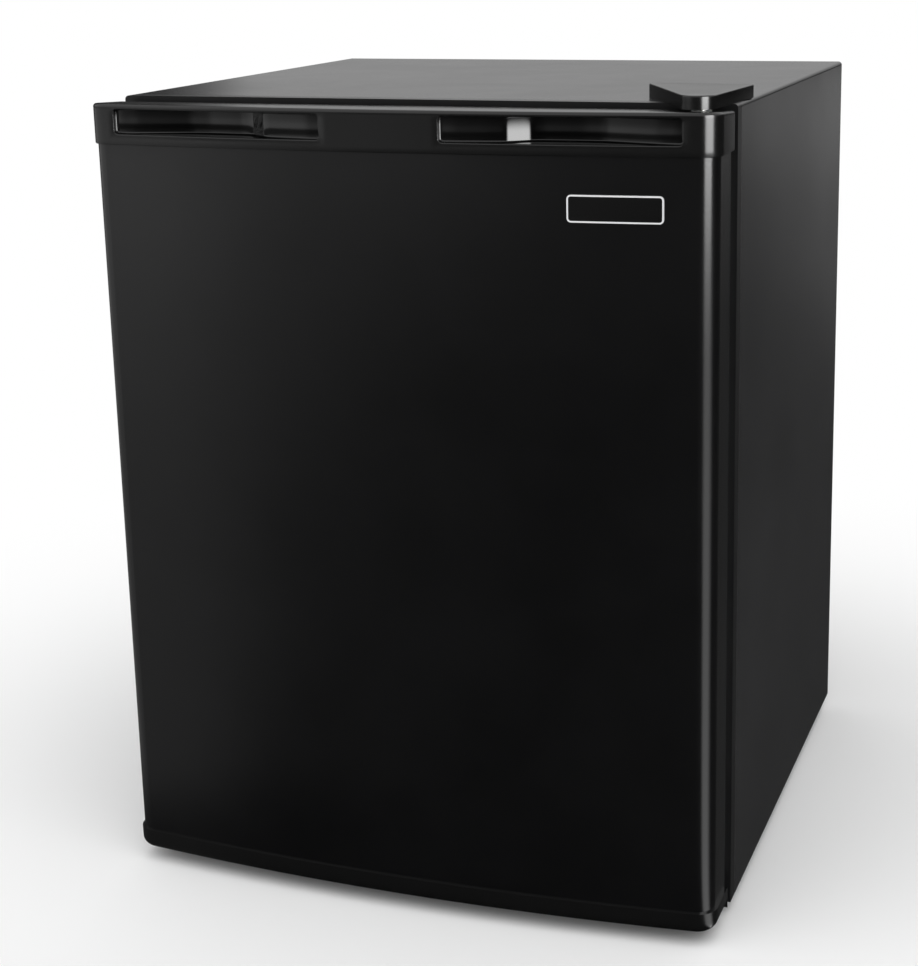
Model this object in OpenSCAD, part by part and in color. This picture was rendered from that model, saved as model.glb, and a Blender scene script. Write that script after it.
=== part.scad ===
// Compact free-standing refrigerator: foamed steel cabinet, bowed door hinged on the right,
// half-width freezer box, wire shelves, door bins, and an open compressor bay at the back.
// The origin is the floor under the middle of the part. The door faces -Y.

/* [Cabinet] */
// Width across the side panels
cab_w = 480; // [430:1:560]
// Depth from the front frame to the back panel
cab_d = 420; // [370:1:500]
// Height of the cabinet above its feet
cab_h = 604; // [520:1:720]
// Height of the feet
foot_h = 10; // [9:0.5:25]
// Outer radius of the top edges of the steel wrapper
edge_r = 3; // [2:0.5:6]
// Thickness of the steel sheets
sheet = 0.8; // [0.6:0.1:1.2]
// Depth of the front frame seen from the side
collar_d = 11; // [8:0.5:16]
// Wall of the front frame
collar_t = 1.5; // [1.2:0.1:2.5]
// Open seam between neighbouring panels
seam = 0.3; // [0.2:0.05:0.6]
// Foamed side wall, outside to inside
wall_side = 38; // [32:1:50]
// Foamed top wall
wall_top = 40; // [34:1:55]
// Foamed floor
wall_floor = 42; // [38:1:55]
// Foamed back wall
wall_back = 40; // [32:1:55]

/* [Inner liner] */
// Thickness of the formed liner
liner_t = 2; // [1.5:0.1:3]
// Corner radius of the cold space
liner_r = 18; // [10:1:30]
// Width of the liner lip around the opening
lip_w = 8; // [6:0.5:12]
// How far a shelf ledge stands out of the wall
ledge_w = 6; // [4:0.5:9]
// Height of a shelf ledge
ledge_h = 8; // [6:0.5:12]

/* [Compressor bay] */
// Height of the bay
bay_h = 175; // [165:1:210]
// Depth of the bay
bay_d = 150; // [144:1:180]
// Foam between the bay and the cold space
bay_wall = 30; // [24:1:45]

/* [Door] */
// Thickness of the door and gasket together at the door edges
door_t = 56; // [48:1:70]
// How far the middle of the front stands beyond its edges
door_bow = 14; // [6:0.5:20]
// Radius of the vertical front corners
door_r = 16; // [8:0.5:22]
// Gap above and below the door
door_gap = 1; // [0.8:0.1:2]
// Height of the top cap
cap_h = 30; // [28:0.5:45]
// Height of the bottom cap
toe_h = 17; // [15:0.5:30]
// How far the caps stand out beyond the door skin
cap_lip = 2; // [1:0.1:3]
// Wall of the caps
cap_t = 2.5; // [2:0.1:3.5]
// Radius of the top edge of the top cap
cap_r = 2.5; // [1:0.1:4]
// Radius of the lower edge of the bottom cap
toe_r = 8.5; // [4:0.5:10]
// Space between the cabinet front and the back of the door
gasket_t = 10; // [8:0.5:14]
// Width of the gasket
gasket_w = 15; // [12:0.5:18]
// Running gap between the gasket and the front frame
gasket_gap = 0.4; // [0.3:0.05:0.8]

/* [Finger pockets] */
// Width left between the two pockets
grip_bridge = 90; // [60:1:140]
// Distance from a pocket to the side of the door
grip_side = 24; // [20:1:50]
// Distance from the pocket to the top of the door
grip_top = 4.5; // [4:0.1:8]
// Height of a pocket opening
grip_h = 17.5; // [14:0.5:21]
// Corner radius of a pocket opening
grip_r = 6; // [3:0.5:8]
// Distance from the back of a pocket to the cabinet front
grip_back = 42; // [41:0.5:48]
// Wall of the grip cups
cup_t = 2; // [1.5:0.1:2.5]

/* [Badge] */
// Width of the badge
badge_w = 67; // [40:1:90]
// Height of the badge
badge_h = 19; // [12:0.5:30]
// Distance from the badge to the side of the door
badge_side = 37; // [20:1:80]
// Distance from the badge to the top of the door
badge_drop = 56; // [40:1:90]
// Width of the bright rim
badge_rim_w = 1.1; // [0.8:0.1:2]
// Thickness of the badge
badge_t = 1.3; // [0.8:0.1:1.8]
// Corner radius of the badge
badge_r = 3; // [2.5:0.1:5]

/* [Hinges] */
// Distance from the hinge pin to the side of the door
pin_side = 18; // [14:0.5:24]
// Distance from the hinge pin to the cabinet front
pin_y = 32; // [28:0.5:36]
// Diameter of the hinge pins
pin_d = 8; // [6:0.5:10]
// Radial clearance of the pins in their bushes
pin_fit = 0.05; // [0.02:0.01:0.1]
// Outer diameter of the bushes
bush_d = 14; // [12:0.5:16]
// Depth of a pin in its bush
pin_reach = 12; // [9:0.5:16]
// Thickness of the top hinge plate
plate_t = 2.5; // [2:0.1:4]
// Thickness of the bottom hinge bracket
bracket_t = 3; // [2.5:0.1:4]
// Thickness of the washer the door turns on
washer_t = 0.8; // [0.6:0.05:0.9]
// Height of the top hinge cover
cover_h = 10; // [8:0.5:14]
// Wall of the top hinge cover
cover_t = 1.6; // [1.2:0.1:2.2]
// Width of the top hinge cover at its back edge
cover_w = 85.5; // [76:0.5:110]
// Radius of the nose of the top hinge cover
cover_nose = 22; // [20:0.5:24]
// How far the hinge cover reaches over the cabinet top
cover_reach = 52; // [50:1:70]
// Radius of the hinge ears around the pins
ear_r = 11; // [9:0.5:13]
// Width of the top hinge plate
plate_w = 65; // [60:1:72]
// How far the top hinge plate reaches over the cabinet top
plate_reach = 48; // [44:1:50]
// Width of the bottom hinge bracket
bracket_w = 42; // [38:1:60]
// How far the bottom hinge bracket reaches under the cabinet
bracket_reach = 57; // [52:1:80]

/* [Screws and bolts] */
// Diameter of the hinge screws
screw_d = 4.2; // [3:0.1:5]
// Depth of a hinge screw in the cabinet
screw_l = 12; // [8:1:20]
// Diameter of a hinge screw head
screw_head_d = 8; // [6:0.5:9]
// Height of a hinge screw head
screw_head_t = 2.4; // [1.5:0.1:3]
// Diameter of the rear screws
rear_screw_d = 3.5; // [2.5:0.1:4]
// Depth of a rear screw in the cabinet
rear_screw_l = 8; // [6:1:14]
// Diameter of a rear screw head
rear_head_d = 6.8; // [5:0.1:8]
// Height of a rear screw head
rear_head_t = 2; // [1.2:0.1:3]
// Diameter of the compressor bolts
bolt_d = 6; // [5:0.5:8]
// Width across the corners of the bolt heads and nuts
hex_d = 11.6; // [9:0.1:14]
// Height of a bolt head
bolt_head_t = 3.5; // [2.5:0.1:5]
// Height of a nut
nut_t = 4.5; // [3.5:0.1:6]

/* [Freezer box] */
// Width of the evaporator box
evap_w = 200; // [150:1:240]
// Height of the evaporator box
evap_h = 105; // [85:1:120]
// Distance from its front to the cabinet front
evap_front = 152; // [148:1:180]
// Wall of the evaporator box
evap_t = 1.6; // [1.2:0.1:2.5]
// Gap from the box to the side of the cold space
evap_side = 10; // [8:1:20]
// Gap from the box to the ceiling
evap_drop = 13; // [10:1:20]
// Gap from the box to the back of the cold space
evap_back = 32; // [20:1:50]
// Thickness of the freezer flap
flap_t = 4; // [3:0.5:6]
// Diameter of the flap pins
flap_pin_d = 5; // [4:0.5:6]
// Running clearance of small pivots
pivot_fit = 0.05; // [0.03:0.01:0.1]

/* [Drip tray] */
// Height of the drip tray
tray_h = 19.3; // [14:0.1:30]
// Gap between the evaporator box and the tray
tray_drop = 8.7; // [6:0.1:14]
// Wall of the tray
tray_t = 2; // [1.5:0.1:3]

/* [Thermostat] */
// Width of the thermostat housing
stat_w = 110; // [80:1:130]
// Height of the thermostat housing
stat_h = 48; // [42:1:60]
// Depth of the thermostat housing
stat_d = 140; // [100:1:160]
// Diameter of the dial
dial_d = 36; // [26:1:38]
// Depth of the dial
dial_t = 14; // [10:0.5:18]
// Diameter of the dial shaft
shaft_d = 6; // [4:0.5:8]

/* [Shelves] */
// Distance from the shelves to the cabinet front
shelf_front = 110; // [104:1:140]
// Diameter of the shelf rim rod
rim_d = 5; // [4:0.5:6]
// Diameter of the shelf bars
bar_d = 3; // [2.5:0.1:4]
// Number of bars in a shelf
bar_n = 17; // [11:1:25]

/* [Door bins] */
// Height of the bottle bin
bin_low_h = 84; // [60:1:110]
// Height of the other bins
bin_h = 60; // [40:1:70]
// Wall of the bins
bin_t = 2.4; // [2:0.1:3.5]
// How far the bins reach into the cold space
bin_reach = 95; // [60:1:99]
// Diameter of the lugs that carry the bins
lug_d = 8; // [6:0.5:10]
// Clearance around the lugs
lug_gap = 0.4; // [0.3:0.05:0.8]

/* [Condenser] */
// Distance from the back panel to the middle of the coil
coil_gap = 16; // [12:0.5:25]
// Diameter of the condenser tube
coil_d = 4.8; // [4:0.1:6.5]
// Number of tube runs
run_n = 9; // [5:2:13]
// Distance from the coil bends to the cabinet side
coil_side = 55; // [50:1:90]
// Diameter of the cooling wires
wire_d = 1.6; // [1.2:0.1:2]
// Number of cooling wires on each side
wire_n = 27; // [11:2:41]

/* [Compressor] */
// Diameter of the compressor shell
comp_d = 124; // [110:1:128]
// Height of the compressor shell
comp_h = 140; // [120:1:146]
// Distance of the compressor to the right of the middle
comp_x = 70; // [40:1:90]
// Height of the rubber mounts
mount_h = 12; // [10:0.5:15]
// Thickness of the compressor foot plate
foot_plate_t = 3; // [2.5:0.1:4]
// Thickness of the cross rail
rail_t = 2; // [1.5:0.1:3]
// Thickness of the turned-up edges of the cross rail
rail_edge_t = 1.5; // [1:0.1:2]
// Lower corner radius of the compressor shell
comp_low_r = 20; // [12:1:28]
// Corner radius of the compressor dome
comp_top_r = 24; // [16:1:40]
// Width of the terminal cover
term_w = 54; // [40:1:70]
// Height of the terminal cover
term_h = 48; // [36:1:60]
// How far the terminal cover stands out
term_out = 24; // [16:1:30]
// Wall of the terminal cover
term_t = 2; // [1.5:0.1:3]

/* [Pipes] */
// Diameter of the suction tube
suct_d = 6.4; // [5:0.1:8]
// Diameter of the capillary tube
capil_d = 2; // [1.6:0.1:2.5]
// Diameter of the process tube
process_d = 4.8; // [4:0.1:6.4]
// Diameter of the sensing tube
sense_d = 2.4; // [1.6:0.1:3]
// Diameter of the bulb of the sensing tube
bulb_d = 6; // [4:0.1:6]
// Diameter of the filter drier
drier_d = 18; // [14:0.5:22]
// Length of the straight part of the filter drier
drier_l = 70; // [50:1:76]

/* [Cord entry] */
// Outer diameter of the cord gland
gland_d = 18; // [16:0.5:22]
// Bore of the cord gland
gland_bore = 7.2; // [6:0.1:9]
// Distance from the gland to the side of the cabinet
gland_side = 55; // [40:1:70]
// Height of the gland above the cabinet's lower edge
gland_up = 17; // [16:0.5:20]

/* [Feet] */
// Diameter of the front feet
foot_d = 30; // [24:1:36]
// Diameter of the threaded stem of a front foot
stem_d = 8; // [6:0.5:10]
// Length of the threaded stem inside the cabinet
stem_l = 20; // [16:1:22]
// Distance from a front foot to the side of the cabinet
foot_side = 65; // [60:1:90]
// Distance from a front foot to the cabinet front
foot_y = 40; // [34:1:60]
// Diameter of the rear feet at the floor
rear_foot_d = 26; // [20:1:28]
// Distance from a rear foot to the side of the cabinet
rear_side = 45; // [36:1:60]

/* [Hidden] */
$fn = 48;
cab_top = foot_h + cab_h;
hw = cab_w / 2;
front_y = -door_t - door_bow;
back_y = cab_d + coil_gap + coil_d / 2 + wire_d;
mid_y = (front_y + back_y) / 2;
in_hw = hw - wall_side;
z_floor = foot_h + wall_floor;
z_ceil = cab_top - wall_top;
y_rear = cab_d - wall_back;
bay_top = foot_h + bay_h;
bay_y = cab_d - bay_d;
hump_z = bay_top + bay_wall;
hump_y = bay_y - bay_wall;
y_wrap = collar_d + seam;
y_panel = cab_d - sheet;
z_base = foot_h + sheet;
// Door
door_lo = foot_h + door_gap;
door_hi = cab_top - door_gap;
skin_lo = door_lo + toe_h;
skin_hi = door_hi - cap_h;
bow_r = (hw * hw + door_bow * door_bow) / (2 * door_bow);
bow_cy = front_y + bow_r;
bow_blend = 0.02;
pin_x = hw - pin_side;
plate_y = -gasket_t;
seal_hw = pin_x + 4.5;
seal_r = 10;
seal_in = hw - seal_hw;
dyke_gap = 14;
dyke_hw = in_hw - dyke_gap;
dyke_lo = z_floor + dyke_gap;
dyke_hi = z_ceil - dyke_gap;
dyke_w = 22;
dyke_y = 38;
pan_hw = dyke_hw - dyke_w;
pan_lo = dyke_lo + dyke_w;
pan_hi = dyke_hi - dyke_w;
pan_y = -20;
dyke_r = 20;
pan_r = 8;
// Freezer box and tray
ex0 = -in_hw + evap_side;
ex1 = ex0 + evap_w;
ez1 = z_ceil - evap_drop;
ez0 = ez1 - evap_h;
ey0 = evap_front;
ey1 = y_rear - evap_back;
ring_w = 4;
ring_d = 8;
ear_w = 3.4;
flap_ear_r = 5.5;
ring_y = ey0 - 1.2;
flap_y = ring_y - seam - flap_t;
axis_y = ey0 - 8;
axis_z = ez0 + 3;
hang_x = [ex0 + 25, ex1 - 25];
hang_y = [ey0 + 30, ey1 - 30];
hang_r = 6;
hang_bore_r = 2;
tray_top = ez0 - tray_drop;
tray_lo = tray_top - tray_h;
tray_edge_t = 2;
rail_y1 = ey1 - 8;
// Thermostat
sx1 = in_hw - liner_r - 1;
sx0 = sx1 - stat_w;
sz0 = z_ceil - stat_h;
dial_x = (sx0 + sx1) / 2;
dial_z = sz0 + stat_h / 2 - 1;
dial_y = ey0 - 2;
stat_r = 6;
stat_t = 2;
switch_hw = 20;
sense_y = 50;
// Shelves
shelf_lo = hump_z + ledge_h + rim_d / 2;
shelf_hi = (shelf_lo + tray_lo) / 2 + 5;
shelf_hw = in_hw - 3;
shelf_back = y_rear - 8;
// Bins
bin_hw = pan_hw - 4;
bin_lo = pan_lo + 4;
bin_hi = tray_lo - 8;
bin_z = [bin_lo, (bin_lo + bin_low_h + bin_hi - 2 * bin_h) / 2 + 8, bin_hi - bin_h];
bin_hs = [bin_low_h, bin_h, bin_h];
bin_r = 9;
lug_y = 10;
lug_up = 26;
// Feet and rail
foot_x = hw - foot_side;
rear_x = hw - rear_side;
socket_r = 8;
socket_h = 28;
rail_y0 = bay_y + 15;
rail_y2 = cab_d - 15;
comp_y = bay_y + bay_d / 2;
comp_z = foot_h + rail_t + mount_h + foot_plate_t;
bolt_dx = 60;
bolt_dy = 36;
// Condenser
coil_y = cab_d + coil_gap;
coil_lo = bay_top + 40;
coil_hi = cab_top - 30;
pitch = (coil_hi - coil_lo) / (run_n - 1);
coil_hw = hw - coil_side - pitch / 2;
riser_x = hw - 35;
wire_step = 2 * coil_hw / (wire_n + 1);
clip_x = wire_step * 9.5;
clip_w = wire_step - wire_d - 1.6;
drier_y = cab_d - 20;
drier_lo = bay_top - 117;
suct_x = -60;
cap_x = -72;
gland_x = gland_side - hw;
gland_z = foot_h + gland_up;
gland_neck_r = gland_d / 2 - 2.1;
// Screws and bolts
top_screws = [[hw - 58, 32], [hw - 36, 38], [hw - 14, 32]];
toe_screws = [[hw - 34, 44], [hw - 14, 44]];
screw_hole_r = screw_d / 2 + 0.2;
screw_core_r = screw_d / 2 + 0.4;
screw_core_l = screw_l + 2;
rear_hole_r = rear_screw_d / 2 + 0.25;
rear_core_r = rear_screw_d / 2 + 0.45;
clip_hole_r = rear_screw_d / 2 + 0.15;
bolt_hole_r = bolt_d / 2 + 0.4;
clip_t = 2;
clip_dz = 11;
plate_edge = 3;
plate_corner = 6;
bracket_corner = 5;
cover_corner = 4;
cover_nose_y = 27;
stud_t = 0.8;

// ---- helpers ----

// Everything below is measured from the cabinet front, so it is moved to the middle of the part
module in_place() {
    translate([0, -mid_y, 0]) children();
}

// Box between two opposite corners
module span(a, b) {
    translate(a) cube(b - a);
}

// Flat outline drawn in x and z, run from y0 to y1
module along_y(y0, y1) {
    translate([0, y1, 0]) rotate([90, 0, 0]) linear_extrude(y1 - y0) children();
}

// Flat outline drawn in x and y, run from z0 to z1
module along_z(z0, z1) {
    translate([0, 0, z0]) linear_extrude(z1 - z0) children();
}

// Normal of the outer tangent from circle a to circle b, each [x, y, r]
function out_n(a, b) =
    let (d = [b[0] - a[0], b[1] - a[1]], l = norm(d), u = d / l, s = (a[2] - b[2]) / l, c = sqrt(1 - s * s))
    [u[1] * c + u[0] * s, u[1] * s - u[0] * c];

// Outline around circles [x, y, r] listed anticlockwise
module wrapped(c) {
    n = len(c);
    union() {
        polygon([
            for (i = [0 : n - 1])
                let (a = c[i], b = c[(i + 1) % n], m = out_n(a, b))
                each [[a[0] + a[2] * m[0], a[1] + a[2] * m[1]], [b[0] + b[2] * m[0], b[1] + b[2] * m[1]]]
        ]);
        for (k = c) translate([k[0], k[1]]) circle(r = k[2]);
    }
}

// Rounded rectangle between two corners
module soft_rect(x0, y0, x1, y1, r) {
    wrapped([[x0 + r, y0 + r, r], [x1 - r, y0 + r, r], [x1 - r, y1 - r, r], [x0 + r, y1 - r, r]]);
}

// Round rod from a to b
module rod(a, b, r) {
    v = b - a;
    l = norm(v);
    translate(a) rotate([0, acos(v[2] / l), atan2(v[1], v[0])]) cylinder(r = r, h = l);
}

// Bent tube through a list of points
module tube_path(p, r) {
    for (i = [0 : len(p) - 2]) rod(p[i], p[i + 1], r);
    for (i = [1 : len(p) - 2]) translate(p[i]) sphere(r = r * 1.03);
}

// Cabinet cross-section seen from the front, inset by e, from height z0 up
module cab_profile(e, z0) {
    r = max(edge_r - e, 0.8);
    w = hw - e;
    zt = cab_top - e;
    union() {
        translate([-w, z0]) square([2 * w, zt - r - z0]);
        translate([r - w, z0]) square([2 * (w - r), zt - z0]);
        for (s = [-1, 1]) translate([s * (w - r), zt - r]) circle(r = r);
    }
}

// Door cross-section seen from above, inset by e, back to the line y = back
module door_plan(e, back) {
    w = hw - e;
    r = door_r - e;
    big = bow_r - e;
    phi = asin((w - r) / (big - r));
    cy = bow_cy - (big - r) * cos(phi) - bow_blend;
    xt = big * sin(phi);
    intersection() {
        translate([0, bow_cy]) circle(r = big, $fn = 720);
        union() {
            translate([-xt, front_y - 5]) square([2 * xt, back - front_y + 5]);
            for (s = [-1, 1]) translate([s * (w - r), cy]) circle(r = r);
            translate([-w, cy]) square([2 * w, back - cy]);
        }
    }
}

// Outline of the top hinge cover, inset by e
module cover_plan(e) {
    y = cover_reach - cover_corner;
    r = cover_corner - e;
    wrapped([[hw - cover_nose, -cover_nose_y, cover_nose - e], [hw - cover_corner, y, r],
        [hw - cover_w + cover_corner, y, r]]);
}

// Pocket opening seen from the front, grown by e, on side s
module grip_plan(s, e) {
    a = grip_bridge / 2 - e;
    b = hw - grip_side + e;
    zt = door_hi - grip_top + e;
    zb = door_hi - grip_top - grip_h - e;
    soft_rect(s > 0 ? a : -b, zb, s > 0 ? b : -a, zt, grip_r + e);
}

// Raised frame of the door liner seen from the front, inset by e
module dyke_plan(e) {
    soft_rect(e - dyke_hw, dyke_lo + e, dyke_hw - e, dyke_hi - e, dyke_r - e);
}

// Hollow of the door liner seen from the front, grown by e
module pan_plan(e) {
    soft_rect(-pan_hw - e, pan_lo - e, pan_hw + e, pan_hi + e, pan_r + e);
}

// Liner lip round the opening of the cabinet, grown by e in width and height
module lip_plan(e) {
    w = lip_w + e;
    soft_rect(-in_hw - w, z_floor - w, in_hw + w, z_ceil + w, liner_r + lip_w);
}

// Space taken by the liner with its outside skin
module liner_block() {
    difference() {
        along_y(0, y_rear + liner_t)
            soft_rect(-in_hw - liner_t, z_floor - liner_t, in_hw + liner_t, z_ceil + liner_t,
                liner_r + liner_t);
        span([-cab_w, hump_y + liner_t, 0], [cab_w, cab_d + 1, hump_z - liner_t]);
    }
}

// Seat and thread holes for a countable group of upright screws
module upright_holes(list, r, z0, z1) {
    for (p = list) translate([p[0], p[1], z0]) cylinder(r = r, h = z1 - z0);
}

// ---- cabinet ----

module cabinet_wrapper() {
    color([0.045, 0.045, 0.05]) in_place() difference() {
        along_y(y_wrap, cab_d) cab_profile(0, foot_h);
        along_y(y_wrap - 1, cab_d + 1) cab_profile(sheet, foot_h - 1);
        upright_holes(top_screws, screw_hole_r, cab_top - 5, cab_top + 1);
    }
}

module front_frame() {
    color([0.04, 0.04, 0.045]) in_place() difference() {
        along_y(0, collar_d) cab_profile(0, foot_h);
        along_y(collar_t, collar_d + 1) cab_profile(collar_t, foot_h + collar_t);
        along_y(-1, collar_t + 1) lip_plan(seam);
    }
}

module back_panel() {
    color([0.05, 0.05, 0.055]) in_place() difference() {
        along_y(y_panel, cab_d) cab_profile(sheet + 0.1, bay_top + sheet + 0.2);
        rear_holes(rear_hole_r);
    }
}

module base_plate() {
    color([0.55, 0.56, 0.57]) in_place() difference() {
        span([0.1 + sheet - hw, y_wrap, foot_h], [hw - sheet - 0.1, bay_y + sheet, z_base]);
        upright_holes(toe_screws, screw_hole_r, foot_h - 1, z_base + 1);
        upright_holes([[-foot_x, foot_y], [foot_x, foot_y]], stem_d / 2 + 0.6, foot_h - 1, z_base + 1);
    }
}

module compressor_step() {
    color([0.55, 0.56, 0.57]) in_place() difference() {
        union() {
            span([0.1 + sheet - hw, bay_y, z_base], [hw - sheet - 0.1, bay_y + sheet, bay_top + sheet]);
            span([0.1 + sheet - hw, bay_y, bay_top], [hw - sheet - 0.1, y_panel, bay_top + sheet]);
        }
        bay_tube_holes(0.6, bay_top - 1, bay_top + sheet + 1);
    }
}

// Holes where the suction and capillary tubes leave the bay
module bay_tube_holes(gap, z0, z1) {
    translate([suct_x, comp_y, z0]) cylinder(r = suct_d / 2 + gap, h = z1 - z0);
    translate([cap_x, comp_y, z0]) cylinder(r = capil_d / 2 + gap, h = z1 - z0);
}

module cabinet_foam() {
    color([0.92, 0.86, 0.62]) in_place() difference() {
        union() {
            along_y(y_wrap, y_panel) cab_profile(sheet + 0.1, z_base);
            along_y(collar_t, y_wrap) cab_profile(collar_t + 0.1, foot_h + collar_t + 0.1);
        }
        liner_block();
        along_y(collar_t - 1, liner_t) lip_plan(0);
        span([-cab_w, bay_y, 0], [cab_w, cab_d + 1, bay_top + sheet]);
        upright_holes(top_screws, screw_core_r, cab_top - screw_core_l, cab_top);
        upright_holes(toe_screws, screw_core_r, foot_h, foot_h + screw_core_l);
        upright_holes([[-foot_x, foot_y], [foot_x, foot_y]], socket_r + 0.2, foot_h, foot_h + socket_h + 1);
        bay_tube_holes(0.6, bay_top, bay_top + 16);
        rear_holes(rear_core_r);
    }
}

module inner_liner() {
    color([0.95, 0.95, 0.94]) in_place() union() {
        difference() {
            union() {
                liner_block();
                along_y(0, collar_t) lip_plan(0);
            }
            difference() {
                along_y(-1, y_rear) soft_rect(-in_hw, z_floor, in_hw, z_ceil, liner_r);
                span([-cab_w, hump_y, 0], [cab_w, cab_d, hump_z]);
            }
        }
        for (s = [-1, 1], z = [shelf_lo, shelf_hi])
            span([s > 0 ? in_hw - ledge_w : -in_hw - 0.5, shelf_front - 10, z - rim_d / 2 - ledge_h],
                [s > 0 ? in_hw + 0.5 : ledge_w - in_hw, y_rear + 0.5, z - rim_d / 2]);
    }
}

module wire_shelf(z) {
    r = rim_d / 2;
    up = r + bar_d / 2 - 0.5;
    margin = 14;
    step = 2 * (shelf_hw - margin) / (bar_n - 1);
    color([0.93, 0.93, 0.92]) in_place() union() {
        for (y = [shelf_front + r, (shelf_front + shelf_back) / 2, shelf_back - r])
            rod([r - shelf_hw, y, z], [shelf_hw - r, y, z], r);
        for (s = [-1, 1]) {
            rod([s * (shelf_hw - r), shelf_front + r, z], [s * (shelf_hw - r), shelf_back - r, z], r);
            for (y = [shelf_front + r, shelf_back - r])
                translate([s * (shelf_hw - r), y, z]) sphere(r = r * 1.01);
        }
        for (i = [0 : bar_n - 1]) {
            x = margin - shelf_hw + i * step;
            rod([x, shelf_front + 1, z + up], [x, shelf_back - 1, z + up], bar_d / 2);
        }
    }
}

module wire_shelf_lower() {
    wire_shelf(shelf_lo);
}

module wire_shelf_upper() {
    wire_shelf(shelf_hi);
}

// ---- freezer box ----

module evaporator_box() {
    color([0.80, 0.82, 0.84]) in_place() difference() {
        span([ex0, ey0, ez0], [ex1, ey1, ez1]);
        span([ex0 + evap_t, ey0 - 1, ez0 + evap_t], [ex1 - evap_t, ey1 + 1, ez1 - evap_t]);
        for (x = hang_x, y = hang_y) translate([x, y, ez1 - 4]) cylinder(r = hang_bore_r, h = 6);
    }
}

module evaporator_frame() {
    color([0.94, 0.94, 0.93]) in_place() union() {
        difference() {
            span([ex0 - ring_w, ring_y, ez0 - ring_w], [ex1 + ring_w, ey0 + ring_d, ez1 + ring_w]);
            span([ex0 + evap_t, ring_y - 1, ez0 + evap_t], [ex1 - evap_t, ey0 + ring_d + 1, ez1 - evap_t]);
            span([ex0, ey0, ez0], [ex1, ey0 + ring_d + 1, ez1]);
        }
        for (s = [-1, 1]) flap_lug(s > 0 ? ex1 + ring_w - ear_w : ex0 - ring_w);
    }
}

// Ear that carries one pin of the flap, from x to x + ear_w
module flap_lug(x) {
    difference() {
        union() {
            translate([x, axis_y, axis_z]) rotate([0, 90, 0]) cylinder(r = flap_ear_r, h = ear_w);
            span([x, axis_y, axis_z - flap_ear_r], [x + ear_w, ring_y + 0.5, axis_z + flap_ear_r]);
        }
        translate([x - 1, axis_y, axis_z]) rotate([0, 90, 0])
            cylinder(d = flap_pin_d + 2 * pivot_fit, h = 6);
    }
}

module freezer_flap() {
    mid = (ex0 + ex1) / 2;
    pull_hw = 26;
    color([0.86, 0.92, 0.95]) in_place() union() {
        span([ex0 + 1, flap_y, axis_z], [ex1 - 1, flap_y + flap_t, ez1 - 2]);
        translate([ex0 + 1, axis_y, axis_z]) rotate([0, 90, 0]) cylinder(r = flap_t, h = evap_w - 2);
        translate([ex0 - ring_w + 0.5, axis_y, axis_z]) rotate([0, 90, 0])
            cylinder(d = flap_pin_d, h = evap_w + 2 * ring_w - 1);
        span([mid - pull_hw, flap_y - 8, ez1 - 15], [mid + pull_hw, flap_y + 1, ez1 - 12]);
    }
}

module evaporator_rear_cover() {
    e = evap_t + 0.2;
    color([0.90, 0.90, 0.89]) in_place() union() {
        span([ex0 - 2, ey1, ez0 - 2], [ex1 + 2, ey1 + 3, ez1 + 2]);
        difference() {
            span([ex0 + e, ey1 - 6, ez0 + e], [ex1 - e, ey1 + 1, ez1 - e]);
            span([ex0 + e + 2, ey1 - 7, ez0 + e + 2], [ex1 - e - 2, ey1, ez1 - e - 2]);
        }
    }
}

module evaporator_hangers() {
    color([0.94, 0.94, 0.93]) in_place() for (x = hang_x, y = hang_y) difference() {
        translate([x, y, ez1]) cylinder(r = hang_r, h = evap_drop);
        translate([x, y, ez1 - 1]) cylinder(r = hang_bore_r, h = evap_drop - 2);
    }
}

module evaporator_screws() {
    color([0.75, 0.75, 0.76]) in_place() for (x = hang_x, y = hang_y) {
        translate([x, y, ez1 - evap_t - 2]) cylinder(r1 = 3, r2 = 4, h = 2);
        translate([x, y, ez1 - evap_t - 0.5]) cylinder(r = hang_bore_r - 0.2, h = evap_t + evap_drop - 3.5);
    }
}

module tray_rails() {
    color([0.94, 0.94, 0.93]) in_place() for (s = [0, 1]) {
        x = s > 0 ? ex1 : ex0;
        d = s > 0 ? -1 : 1;
        z = tray_top - tray_edge_t - 0.3;
        span([min(x, x + 2 * d), ey0 + 10, z - 2], [max(x, x + 2 * d), rail_y1, ez0]);
        span([min(x, x + 9 * d), ey0 + 10, z - 2], [max(x, x + 9 * d), rail_y1, z]);
    }
}

module drip_tray() {
    x0 = ex0 + 10;
    x1 = ex1 - 10;
    y0 = ey0 - 2;
    pull_hw = 30;
    color([0.85, 0.90, 0.93]) in_place() union() {
        difference() {
            span([x0, y0, tray_lo], [x1, rail_y1 - 2, tray_top]);
            span([x0 + tray_t, y0 + tray_t, tray_lo + tray_t],
                [x1 - tray_t, rail_y1 - 2 - tray_t, tray_top + 1]);
        }
        span([ex0 + 2.5, y0, tray_top - tray_edge_t], [x0 + 0.5, rail_y1 - 2, tray_top]);
        span([x1 - 0.5, y0, tray_top - tray_edge_t], [ex1 - 2.5, rail_y1 - 2, tray_top]);
        span([ex0 + 2.5, y0 - 3, tray_lo], [ex1 - 2.5, y0 + 0.5, tray_top]);
        span([(x0 + x1) / 2 - pull_hw, y0 - 11, tray_lo], [(x0 + x1) / 2 + pull_hw, y0 - 2, tray_lo + 3]);
    }
}

// ---- thermostat ----

// Housing outline seen from the front, inset by e, up to height h
module stat_plan(e, h) {
    translate([sx0 + stat_r, sz0 + e]) square([stat_w - 2 * stat_r, h - e]);
    translate([sx0 + e, sz0 + stat_r]) square([stat_w - 2 * e, h - stat_r]);
    for (x = [sx0 + stat_r, sx1 - stat_r]) translate([x, sz0 + stat_r]) circle(r = stat_r - e);
}

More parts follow.
